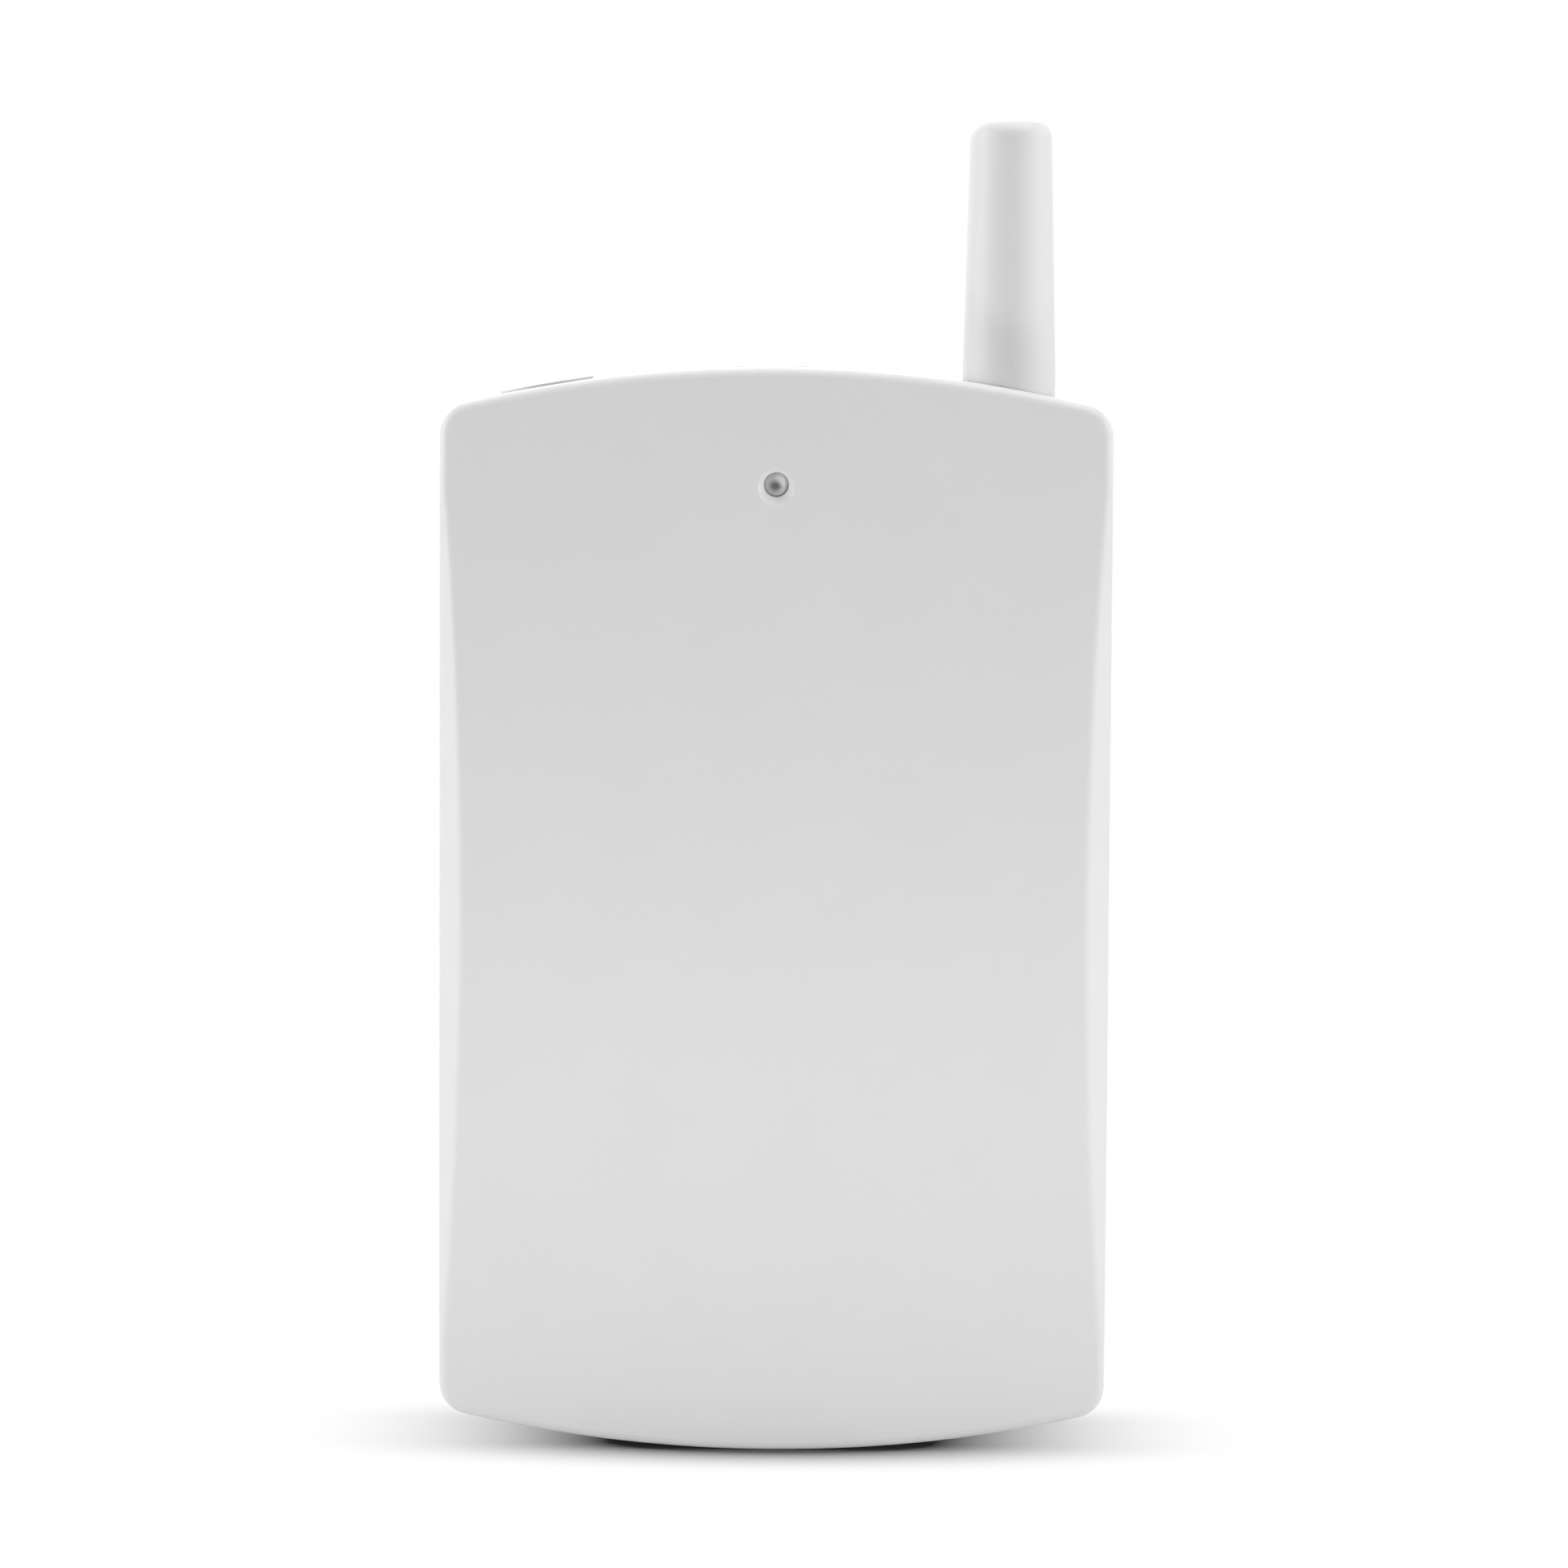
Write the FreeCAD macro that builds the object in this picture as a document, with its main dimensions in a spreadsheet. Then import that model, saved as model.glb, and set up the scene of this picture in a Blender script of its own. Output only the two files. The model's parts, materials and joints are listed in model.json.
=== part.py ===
import FreeCAD, Part
import math
import os
from types import SimpleNamespace

import Sketcher
from FreeCAD import Placement, Rotation, Vector

# Wireless vibration detector for a wall: a two shell case with a stub antenna, a circuit board
# with its sensor and controls, and a 9 V block battery. Millimetres. The wall is the plane y = 0,
# depth is measured from the wall towards the room (minus Y), X is to the right and Z is up. The
# origin is the middle of the wall face.

SIZES = {
    # Outline of the case, seen from the front
    "body_width": 65.0,
    "body_height": 105.8,
    "end_arc_radius": 132.0,
    "corner_radius": 3.1,
    # Depths of the case
    "parting_depth": 11.2,
    "rim_depth": 24.0,
    "crown_rise": 3.0,
    "crown_span": 92.0,
    "facet_inset": 2.15,
    "edge_fillet": 0.9,
    "back_fillet": 0.9,
    "wall": 2.0,
    "floor_wall": 2.0,
    # How far a cutter reaches past the faces that it opens
    "cut_margin": 1.0,
    # Joint between the two shells
    "parting_gap": 0.2,
    "tongue_height": 1.2,
    "tongue_wall": 0.9,
    "slip": 0.15,
    "rib_wall": 1.2,
    "stiffener_offset": 16.0,
    # Hinge hooks at the bottom and snap finger at the top of the cover
    "hook_offset": 14.0,
    "hook_width": 6.0,
    "hook_wall": 1.2,
    "hook_reach": 3.3,
    "hook_root": 3.2,
    "hook_bar": 1.3,
    "latch_width": 8.0,
    "latch_wall": 1.4,
    "latch_root_wall": 2.1,
    "latch_flex": 2.0,
    "latch_reach": 4.7,
    "latch_nib": 1.7,
    "latch_play": 0.25,
    # Antenna and the blanked port beside it
    "antenna_inset": 9.75,
    "antenna_base_radius": 4.55,
    "antenna_tip_radius": 4.0,
    "antenna_reach": 24.15,
    "antenna_tip_fillet": 1.7,
    "collar_radius": 6.0,
    "collar_wall": 1.6,
    "port_stub": 1.4,
    "port_play": 0.15,
    "plug_proud": 0.25,
    "cradle_margin": 1.4,
    "whip_radius": 0.6,
    "whip_cover": 5.0,
    "whip_drop": 2.0,
    "moulding_play": 0.05,
    # Status lamp
    "led_drop": 11.2,
    "led_radius": 1.5,
    "led_length": 5.3,
    "led_flange_radius": 1.9,
    "led_flange_wall": 1.0,
    "led_recess": 0.35,
    "led_window_radius": 1.2,
    "led_lip": 0.8,
    "led_bevel_radius": 1.75,
    "led_bevel_depth": 0.4,
    "led_seat_radius": 1.95,
    "led_boss_radius": 3.1,
    "led_boss_height": 2.0,
    "led_leg": 0.5,
    "led_spacer_radius": 2.3,
    # Circuit board
    "board_width": 52.0,
    "board_depth": 6.4,
    "board_thickness": 1.6,
    "board_top_gap": 0.3,
    "board_corner": 1.5,
    "pin_pitch": 2.54,
    "screw_inset": 3.5,
    "screw_drop": 10.0,
    "screw_rise": 4.3,
    "screw_radius": 1.0,
    "screw_length": 5.4,
    "screw_head_radius": 2.1,
    "screw_head_height": 1.4,
    "screw_slot": 0.5,
    "screw_slot_length": 2.5,
    "screw_slot_depth": 0.7,
    "screw_hole_play": 0.2,
    "standoff_radius": 2.6,
    # Fixing to the wall
    "mount_bay": 8.4,
    "mount_spacing": 40.0,
    "mount_hole_radius": 2.1,
    "mount_boss_radius": 3.9,
    "mount_boss_height": 1.0,
    "mount_clear": 5.8,
    "access_hole_radius": 4.5,
    # Battery and its snap connector
    "battery_length": 48.5,
    "battery_width": 26.5,
    "battery_thickness": 17.5,
    "battery_corner": 2.6,
    "battery_end_plate": 0.8,
    "battery_end_inset": 0.7,
    "battery_side_gap": 0.7,
    "battery_play": 0.35,
    "foam_thickness": 0.8,
    "foam_inset": 5.0,
    "press_gap": 0.3,
    "terminal_spacing": 12.7,
    "stud_radius": 2.85,
    "terminal_crown_radius": 3.95,
    "terminal_height": 2.9,
    "clip_width": 24.0,
    "clip_thickness": 12.4,
    "clip_height": 4.8,
    "clip_recess": 3.2,
    "clip_recess_radius": 4.5,
    "clip_corner": 2.0,
    "clip_gap": 0.2,
    "contact_wall": 0.4,
    # Leads: where they leave the connector, how they bow and where they are soldered
    "wire_radius": 0.65,
    "lead_pad_rise": 2.4,
    "red_exit_left": 0.8,
    "red_exit_back": 1.9,
    "red_exit_length": 3.6,
    "red_bow_left": 2.0,
    "red_bow_back": 0.4,
    "red_bow_drop": 1.4,
    "red_pad_x": 17.5,
    "red_arrival": 3.6,
    "black_exit_right": 1.0,
    "black_exit_front": 1.1,
    "black_exit_length": 3.8,
    "black_bow_left": 2.6,
    "black_bow_front": 2.4,
    "black_bow_drop": 0.6,
    "black_pad_x": 14.0,
    "black_arrival": 4.4,
    # Vibration sensor
    "sensor_x": -5.0,
    "sensor_rise": 19.8,
    "sensor_radius": 8.0,
    "sensor_height": 7.6,
    "sensor_wall": 1.0,
    "sensor_lid_wall": 1.2,
    "disc_radius": 6.75,
    "disc_thickness": 0.25,
    "disc_depth": 3.4,
    "disc_ledge": 0.9,
    "ceramic_radius": 4.6,
    "ceramic_thickness": 0.25,
    "mass_radius": 2.4,
    "mass_height": 1.6,
    # Sensitivity trimmer
    "trimmer_x": 12.0,
    "trimmer_rise": 19.8,
    "trimmer_side": 9.5,
    "trimmer_height": 4.8,
    "rotor_radius": 3.0,
    "rotor_seat": 2.4,
    "rotor_stand": 0.3,
    "rotor_slot": 0.8,
    "rotor_slot_length": 4.5,
    "rotor_slot_depth": 1.0,
    "running_play": 0.06,
    # Power switch
    "switch_x": 8.0,
    "switch_rise": 6.8,
    "switch_length": 8.6,
    "switch_width": 3.8,
    "switch_height": 3.6,
    "knob_length": 1.8,
    "knob_width": 1.5,
    "knob_height": 2.0,
    "switch_travel": 2.0,
    "switch_slot_depth": 1.0,
    # Tamper switch
    "tamper_x": -12.0,
    "tamper_drop": 10.0,
    "tamper_side": 6.4,
    "tamper_height": 5.0,
    "tamper_collar_radius": 2.5,
    "tamper_collar_height": 1.0,
    "plunger_radius": 1.5,
    "plunger_length": 8.4,
    "plunger_seat": 1.2,
    "plunger_chamfer": 0.5,
    "post_gap": 0.1,
    "post_tip_radius": 1.8,
    "post_root_radius": 2.6,
    # Coding pins and their jumper
    "header_x": 20.5,
    "header_rise": 24.0,
    "header_height": 2.5,
    "pin_side": 0.64,
    "pin_length": 6.0,
    "jumper_side": 2.4,
    "jumper_height": 6.2,
    "jumper_bore_play": 0.08,
    # Coding chip
    "chip_x": -19.0,
    "chip_length": 22.9,
    "chip_width": 6.4,
    "chip_height": 3.3,
    "chip_standoff": 0.5,
    "chip_notch_radius": 1.0,
    "chip_leg_row": 7.62,
    "chip_leg_width": 0.5,
    "chip_leg_thickness": 0.3,
    "chip_legs_per_side": 9,
    # Radio parts and capacitors
    "resonator_x": 11.0,
    "resonator_drop": 8.0,
    "resonator_radius": 4.3,
    "resonator_rim_radius": 4.7,
    "resonator_height": 3.2,
    "resonator_rim_wall": 0.6,
    "transistor_x": 17.5,
    "transistor_drop": 14.0,
    "transistor_radius": 2.3,
    "transistor_flat": 1.2,
    "transistor_height": 4.6,
    "transistor_stand": 1.8,
    "filter_x": -8.0,
    "filter_rise": 6.3,
    "filter_radius": 3.15,
    "filter_height": 7.2,
    "supply_x": 20.5,
    "supply_rise": 13.3,
    "supply_radius": 2.5,
    "supply_height": 6.0,
    "can_chamfer": 0.4,
    "can_groove": 0.3,
    "can_groove_rise": 1.3,
    "resistor_x": 7.6,
    "resistor_rise": 27.3,
    "resistor_pitch": 2.4,
    "resistor_length": 3.2,
    "resistor_width": 1.6,
    "resistor_height": 0.6,
    "resistor_cap": 0.5,
    "resistor_count": 5,
}


class Size:
    """A length in millimetres together with the sheet formula that gives it"""

    def __init__(self, value, formula):
        self.value = value
        self.formula = formula

    def __add__(self, other):
        other = as_size(other)
        return Size(self.value + other.value, f"({self.formula} + {other.formula})")

    def __sub__(self, other):
        other = as_size(other)
        return Size(self.value - other.value, f"({self.formula} - {other.formula})")

    def __mul__(self, other):
        other = as_size(other)
        return Size(self.value * other.value, f"({self.formula} * {other.formula})")

    def __truediv__(self, other):
        other = as_size(other)
        return Size(self.value / other.value, f"({self.formula} / {other.formula})")

    def __rsub__(self, other):
        return as_size(other) - self

    def __neg__(self):
        return Size(-self.value, f"(0 - {self.formula})")

    __radd__ = __add__
    __rmul__ = __mul__


def as_size(number):
    """Make a plain number into a Size"""
    if isinstance(number, Size):
        return number
    return Size(float(number), f"({number})")


def root(size):
    """Square root of a Size"""
    return Size(math.sqrt(size.value), f"sqrt({size.formula})")


doc = FreeCAD.newDocument("VibrationDetector")
sheet = doc.addObject("Spreadsheet::Sheet", "Sizes")
for row, (alias, number) in enumerate(SIZES.items(), 1):
    sheet.set(f"A{row}", alias)
    sheet.set(f"B{row}", str(number))
    sheet.setAlias(f"B{row}", alias)
doc.recompute()
v = SimpleNamespace(**{alias: Size(float(number), f"Sizes.{alias}") for alias, number in SIZES.items()})

# Small tools for building and joining

TURNS = {
    "x": Rotation(Vector(0, 1, 0), 90),
    "depth": Rotation(Vector(1, 0, 0), 90),
    "z": Rotation(),
}
PLANES = {"front": "XZ_Plane", "side": "YZ_Plane", "level": "XY_Plane"}
# Part of a wire's shorter run that its bend takes up
BEND_SHARE = 0.45
nodes = {}


def bind(thing, **sizes):
    """Set properties and tie them to the sheet"""
    for name, size in sizes.items():
        size = as_size(size)
        setattr(thing, name, size.value)
        thing.setExpression(name, size.formula)


def put(thing, x, depth, z, turn=Rotation()):
    """Place an object by its x, its depth in front of the wall and its z"""
    place = {"x": as_size(x), "y": -as_size(depth), "z": as_size(z)}
    thing.Placement = Placement(Vector(*[size.value for size in place.values()]), turn)
    for letter, size in place.items():
        thing.setExpression(f"Placement.Base.{letter}", size.formula)


def named(thing, label):
    """Give an object its label"""
    thing.Label = label
    return thing


def block(label, x, depth, z):
    """Box between two values of x, of depth and of z"""
    box = named(doc.addObject("Part::Box", "Box"), label)
    bind(
        box,
        Length=as_size(x[1]) - x[0],
        Width=as_size(depth[1]) - depth[0],
        Height=as_size(z[1]) - z[0],
    )
    put(box, x[0], depth[1], z[0])
    return box


def place_on_axis(thing, axis, start, at):
    """Stand a round object on its axis: at holds the two other coordinates in the order x, depth, z"""
    where = {
        "x": lambda: (start, at[0], at[1]),
        "depth": lambda: (at[0], start, at[1]),
        "z": lambda: (at[0], at[1], start),
    }
    put(thing, *where[axis](), turn=TURNS[axis])


def rod(label, axis, radius, span, at):
    """Cylinder along x, depth or z"""
    cylinder = named(doc.addObject("Part::Cylinder", "Cylinder"), label)
    bind(cylinder, Radius=radius, Height=as_size(span[1]) - span[0])
    place_on_axis(cylinder, axis, span[0], at)
    return cylinder


def cone(label, axis, radius_start, radius_end, span, at):
    """Cone frustum along x, depth or z"""
    frustum = named(doc.addObject("Part::Cone", "Cone"), label)
    bind(frustum, Radius1=radius_start, Radius2=radius_end, Height=as_size(span[1]) - span[0])
    place_on_axis(frustum, axis, span[0], at)
    return frustum


def fused(label, *parts):
    """Union of several objects"""
    union = named(doc.addObject("Part::MultiFuse", "Fuse"), label)
    union.Shapes = list(parts)
    return union


def cut(label, base, *tools):
    """Base without its tools"""
    difference = named(doc.addObject("Part::Cut", "Cut"), label)
    difference.Base = base
    difference.Tool = tools[0] if len(tools) == 1 else fused(f"{label} cutters", *tools)
    return difference


def shared(label, first, second):
    """What two objects have in common"""
    overlap = named(doc.addObject("Part::Common", "Common"), label)
    overlap.Base = first
    overlap.Tool = second
    return overlap


def group(label, parts):
    """Separate solids kept together"""
    compound = named(doc.addObject("Part::Compound", "Group"), label)
    compound.Links = list(parts)
    return compound


def new_body(label):
    """Empty body"""
    return named(doc.addObject("PartDesign::Body", "Body"), label)


def sketch_on(body, view, height=0):
    """Sketch on one of the body's own planes, moved along the plane's normal"""
    sketch = body.newObject("Sketcher::SketchObject", "Sketch")
    plane = [feature for feature in body.Origin.OriginFeatures if feature.Role == PLANES[view]]
    sketch.AttachmentSupport = [(plane[0], "")]
    sketch.MapMode = "FlatFace"
    height = as_size(height)
    sketch.AttachmentOffset = Placement(Vector(0, 0, height.value), Rotation())
    sketch.setExpression("AttachmentOffset.Base.z", height.formula)
    return sketch


def arc_between(start, end, radius):
    """Arc through two points, bulging right of the way from start to end when radius is positive"""
    chord = end - start
    left = Vector(-chord.y, chord.x, 0).normalize()
    rise = math.sqrt(radius * radius - chord.Length * chord.Length / 4)
    side = 1 if radius > 0 else -1
    centre = (start + end) / 2 + left * rise * side
    first, last = (start, end) if radius > 0 else (end, start)
    angles = [math.atan2(point.y - centre.y, point.x - centre.x) for point in (first, last)]
    circle = Part.Circle(centre, Vector(0, 0, 1), abs(radius))
    return Part.ArcOfCircle(circle, *angles)


def draw(sketch, view, corners):
    """
    Closed outline through the corners. A corner is a pair of sizes, x and z in the front view, depth
    and z in the side view, x and depth in the level view. A third size makes the side that starts
    there an arc of that radius, positive where it bulges right of the way on.
    """
    flip_first = -1 if view == "side" else 1
    flip_second = -1 if view == "level" else 1
    mirrored = flip_first * flip_second
    points = []
    for corner in corners:
        first = as_size(corner[0]) * flip_first if flip_first < 0 else as_size(corner[0])
        second = as_size(corner[1]) * flip_second if flip_second < 0 else as_size(corner[1])
        points.append((first, second))
    geometry = []
    ends = []
    for index, corner in enumerate(corners):
        start = Vector(points[index][0].value, points[index][1].value, 0)
        after = points[(index + 1) % len(points)]
        end = Vector(after[0].value, after[1].value, 0)
        if len(corner) == 2:
            geometry.append(Part.LineSegment(start, end))
            ends.append((1, 2))
        else:
            radius = corner[2].value * mirrored
            geometry.append(arc_between(start, end, radius))
            ends.append((1, 2) if radius > 0 else (2, 1))
    first_id = sketch.addGeometry(geometry, False)[0]
    ties = []
    formulas = []
    for index, corner in enumerate(corners):
        this = first_id + index
        following = first_id + (index + 1) % len(corners)
        next_start = ends[(index + 1) % len(corners)][0]
        ties.append(Sketcher.Constraint("Coincident", this, ends[index][1], following, next_start))
        formulas.append(None)
        for kind, axis, size in (("DistanceX", -2, points[index][0]), ("DistanceY", -1, points[index][1])):
            if abs(size.value) < 1e-9:
                ties.append(Sketcher.Constraint("PointOnObject", this, ends[index][0], axis))
                formulas.append(None)
            else:
                ties.append(Sketcher.Constraint(kind, -1, 1, this, ends[index][0], size.value))
                formulas.append(size.formula)
        if len(corner) == 3:
            radius = as_size(abs(corner[2].value))
            ties.append(Sketcher.Constraint("Radius", this, radius.value))
            formulas.append(corner[2].formula if corner[2].value > 0 else (-corner[2]).formula)
    indices = sketch.addConstraint(ties)
    for index, formula in zip(indices, formulas):
        if formula:
            sketch.setExpression(f"Constraints[{index}]", formula)
    return sketch


def pad(body, view, span, *outlines):
    """Add the outlines to the body between two heights along the view's normal"""
    sketch = sketch_on(body, view, span[0])
    for outline in outlines:
        draw(sketch, view, outline)
    feature = body.newObject("PartDesign::Pad", "Pad")
    feature.Profile = sketch
    bind(feature, Length=as_size(span[1]) - span[0])
    body.Tip = feature
    return feature


def pocket(body, view, span, *outlines):
    """Take the outlines out of the body between two heights along the view's normal"""
    before = body.Tip
    sketch = sketch_on(body, view, span[0])
    for outline in outlines:
        draw(sketch, view, outline)
    feature = body.newObject("PartDesign::Pocket", "Pocket")
    feature.Profile = sketch
    feature.Reversed = True
    bind(feature, Length=as_size(span[1]) - span[0])
    body.Tip = feature
    doc.recompute()
    if not feature.Shape.Volume < before.Shape.Volume:
        raise RuntimeError(f"a pocket of {body.Label} cuts nothing")
    return feature


def round_edges(body, radius, wanted):
    """Round the edges of the body's last feature that the test picks"""
    doc.recompute()
    base = body.Tip
    picked = [f"Edge{number}" for number, edge in enumerate(base.Shape.Edges, 1) if wanted(edge)]
    feature = body.newObject("PartDesign::Fillet", "Fillet")
    feature.Base = (base, picked)
    bind(feature, Radius=radius)
    body.Tip = feature
    return feature


def prism(label, view, span, *outlines):
    """Body made of one padded sketch"""
    body = new_body(label)
    pad(body, view, span, *outlines)
    return body


def turned(label, axis, outline, at):
    """Body turned about an axis: the outline holds radius and place along the axis"""
    body = new_body(label)
    sketch = draw(sketch_on(body, "front"), "front", outline)
    feature = body.newObject("PartDesign::Revolution", "Revolution")
    feature.Profile = sketch
    feature.ReferenceAxis = (sketch, ["V_Axis"])
    feature.Angle = 360
    body.Tip = feature
    place_on_axis(body, axis, 0, at)
    return body


def rectangle(first, second, radius=None):
    """Corners of a rectangle between two values each way, with round corners if a radius is given"""
    (left, right), (low, high) = first, second
    if radius is None:
        return [(left, low), (right, low), (right, high), (left, high)]
    left, right, low, high = as_size(left), as_size(right), as_size(low), as_size(high)
    return [
        (left + radius, low),
        (right - radius, low, radius),
        (right, low + radius),
        (right, high - radius, radius),
        (right - radius, high),
        (left + radius, high, radius),
        (left, high - radius),
        (left, low + radius, radius),
    ]


def about(centre, width):
    """Pair of values that lie evenly about a centre"""
    return (as_size(centre) - as_size(width) / 2, as_size(centre) + as_size(width) / 2)


def node(name, thing):
    """Register a finished sub-part under the name that its file gets"""
    thing.Label = name
    nodes[name] = thing
    return thing


def on_every_point(edge, test):
    """Whether the test holds all along an edge"""
    first, last = edge.FirstParameter, edge.LastParameter
    return all(test(edge.valueAt(first + (last - first) * part / 4)) for part in range(5))


# Places worked out from the driving sizes

half_width = v.body_width / 2
half_height = v.body_height / 2
arc_centre = half_height - v.end_arc_radius
front_depth = v.rim_depth + v.crown_rise
half_span = v.crown_span / 2
crown_radius = (half_span * half_span + v.crown_rise * v.crown_rise) / (v.crown_rise * 2)
half_gap = v.parting_gap / 2
inner_half_width = half_width - v.wall
board_front = v.board_depth + v.board_thickness
antenna_offset = half_width - v.antenna_inset
overhang = v.wall * 3


def end_height(inset, x):
    """Height of the top arc, drawn in by an inset, at a distance from the middle"""
    radius = v.end_arc_radius - inset
    return arc_centre + root(radius * radius - as_size(x) * as_size(x))


def crown_depth(z, inset=0):
    """Depth of the crowned front, drawn in by an inset, at a height"""
    radius = crown_radius - inset
    return front_depth - crown_radius + root(radius * radius - as_size(z) * as_size(z))


def case_outline(inset):
    """Front view of the case drawn in by an inset: straight sides, arched ends and round corners"""
    inset = as_size(inset)
    side = half_width - inset
    corner = v.corner_radius - inset
    arc = v.end_arc_radius - inset
    reach = v.end_arc_radius - v.corner_radius
    corner_x = half_width - v.corner_radius
    corner_z = arc_centre + root(reach * reach - corner_x * corner_x)
    touch_x = corner_x * (arc / reach)
    touch_z = arc_centre + (corner_z - arc_centre) * (arc / reach)
    return [
        (side, -corner_z),
        (side, corner_z, corner),
        (touch_x, touch_z, arc),
        (-touch_x, touch_z, corner),
        (-side, corner_z),
        (-side, -corner_z, corner),
        (-touch_x, -touch_z, arc),
        (touch_x, -touch_z, corner),
    ]


def crowned_block(label, inset, start_depth):
    """Case outline padded forward, with the crown and the two side facets cut into its front"""
    body = new_body(label)
    pad(body, "front", (start_depth, front_depth + v.wall), case_outline(inset))
    reach = half_height + overhang
    far = front_depth + overhang
    edge_depth = crown_depth(reach, inset)
    radius = crown_radius - inset
    beyond_crown = [(edge_depth, -reach, radius), (edge_depth, reach), (far, reach), (far, -reach)]
    pocket(body, "side", (-half_width - overhang, half_width + overhang), beyond_crown)
    slope = root(v.facet_inset * v.facet_inset + v.crown_rise * v.crown_rise)
    out = v.crown_rise / slope
    forward = v.facet_inset / slope
    low_x = half_width - out * inset + forward * v.wall
    low_depth = v.rim_depth - forward * inset - out * v.wall
    high_x = low_x - forward * v.wall * 4
    high_depth = low_depth + out * v.wall * 4
    for side in (1, -1):
        facet = [
            (low_x * side, low_depth),
            (high_x * side, high_depth),
            ((high_x + v.wall * 4) * side, high_depth + v.wall),
            ((low_x + v.wall * 4) * side, low_depth),
        ]
        pocket(body, "level", (-reach, reach), facet)
    return body


def is_front_edge(edge):
    """Edges round the crowned front and along the outer sides of the facets"""

    def on_crown(point):
        return abs(-point.y - crown_depth(point.z).value) < 1e-3

    def on_side(point):
        return abs(abs(point.x) - half_width.value) < 1e-3 and abs(-point.y - v.rim_depth.value) < 1e-3

    return on_every_point(edge, on_crown) or on_every_point(edge, on_side)


# Front cover

port_top = end_height(v.wall, antenna_offset + v.collar_radius)
collar_top = port_top - v.port_play
collar_bottom = collar_top - v.collar_wall
stub_bottom = collar_bottom - v.port_stub
hinge_depth = v.parting_depth
hinge_height = -half_height
hook_outer_x = v.hook_offset + v.hook_width / 2
inner_rise = half_height - end_height(v.wall, hook_outer_x)
hook_inner_radius = root(inner_rise * inner_rise + v.tongue_height * v.tongue_height) + v.slip
hook_outer_radius = hook_inner_radius + v.hook_wall
led_height = half_height - v.led_drop
led_face = crown_depth(led_height)
led_tip = led_face - v.led_recess
led_back = led_tip - v.led_length
board_top = stub_bottom - v.board_top_gap
battery_left = -inner_half_width + v.battery_side_gap
battery_right = battery_left + v.battery_length
battery_bottom = -end_height(v.wall, -battery_left) + v.battery_play
battery_top = battery_bottom + v.battery_width
battery_back = v.floor_wall + v.foam_thickness
battery_front = battery_back + v.battery_thickness
battery_middle = battery_back + v.battery_thickness / 2
board_bottom = battery_top + v.mount_bay
lower_mount = battery_top + v.mount_bay / 2
upper_mount = lower_mount + v.mount_spacing
screw_heights = (board_top - v.screw_drop, board_bottom + v.screw_rise)
tamper_height = board_top - v.tamper_drop
plunger_back = board_front + v.plunger_seat
plunger_tip = plunger_back + v.plunger_length
latch_top = end_height(v.wall, 0) - v.latch_flex
latch_back = v.parting_depth - v.latch_reach
nib_top = end_height(v.wall, 0) - v.latch_play


def make_hook(side):
    """Hinge hook: a piece of ring about the hinge line that reaches behind the wall of the back shell"""
    span = about(v.hook_offset * side, v.hook_width)
    centre = (hinge_depth, hinge_height)
    outer = rod("hook ring", "x", hook_outer_radius, span, centre)
    bore_span = (span[0] - v.cut_margin, span[1] + v.cut_margin)
    inner = rod("hook bore", "x", hook_inner_radius, bore_span, centre)
    ring = cut("hook band", outer, inner)
    depths = (hinge_depth - v.hook_reach, hinge_depth + v.hook_root)
    heights = (hinge_height, hinge_height + hook_outer_radius + v.cut_margin)
    return shared("hook", ring, block("hook limits", span, depths, heights))


def make_latch():
    """Snap finger at the top of the cover, with a tapered nib on its end"""
    root_depth = crown_depth(latch_top) - v.wall / 2
    finger = [
        (latch_back, latch_top - v.latch_wall),
        (root_depth, latch_top - v.latch_root_wall),
        (root_depth, latch_top),
        (latch_back + v.latch_nib, latch_top),
        (latch_back + v.latch_nib, nib_top),
        (latch_back + v.latch_nib / 2, nib_top),
        (latch_back, latch_top),
    ]
    return prism("snap finger", "side", about(0, v.latch_width), finger)


def port_bore(side):
    """Cutter for the round port at the top edge, half in each shell"""
    heights = (stub_bottom - v.cut_margin, half_height + v.cut_margin)
    radius = v.antenna_base_radius + v.port_play
    return rod("port bore", "z", radius, heights, (antenna_offset * side, v.parting_depth))


def cover_rib(label, x, z, start_depth):
    """Rib that stands on the inside of the crowned front"""
    far_z = z[0] if abs(as_size(z[0]).value) > abs(as_size(z[1]).value) else z[1]
    return block(label, x, (start_depth, crown_depth(far_z) - v.wall / 2), z)


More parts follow.
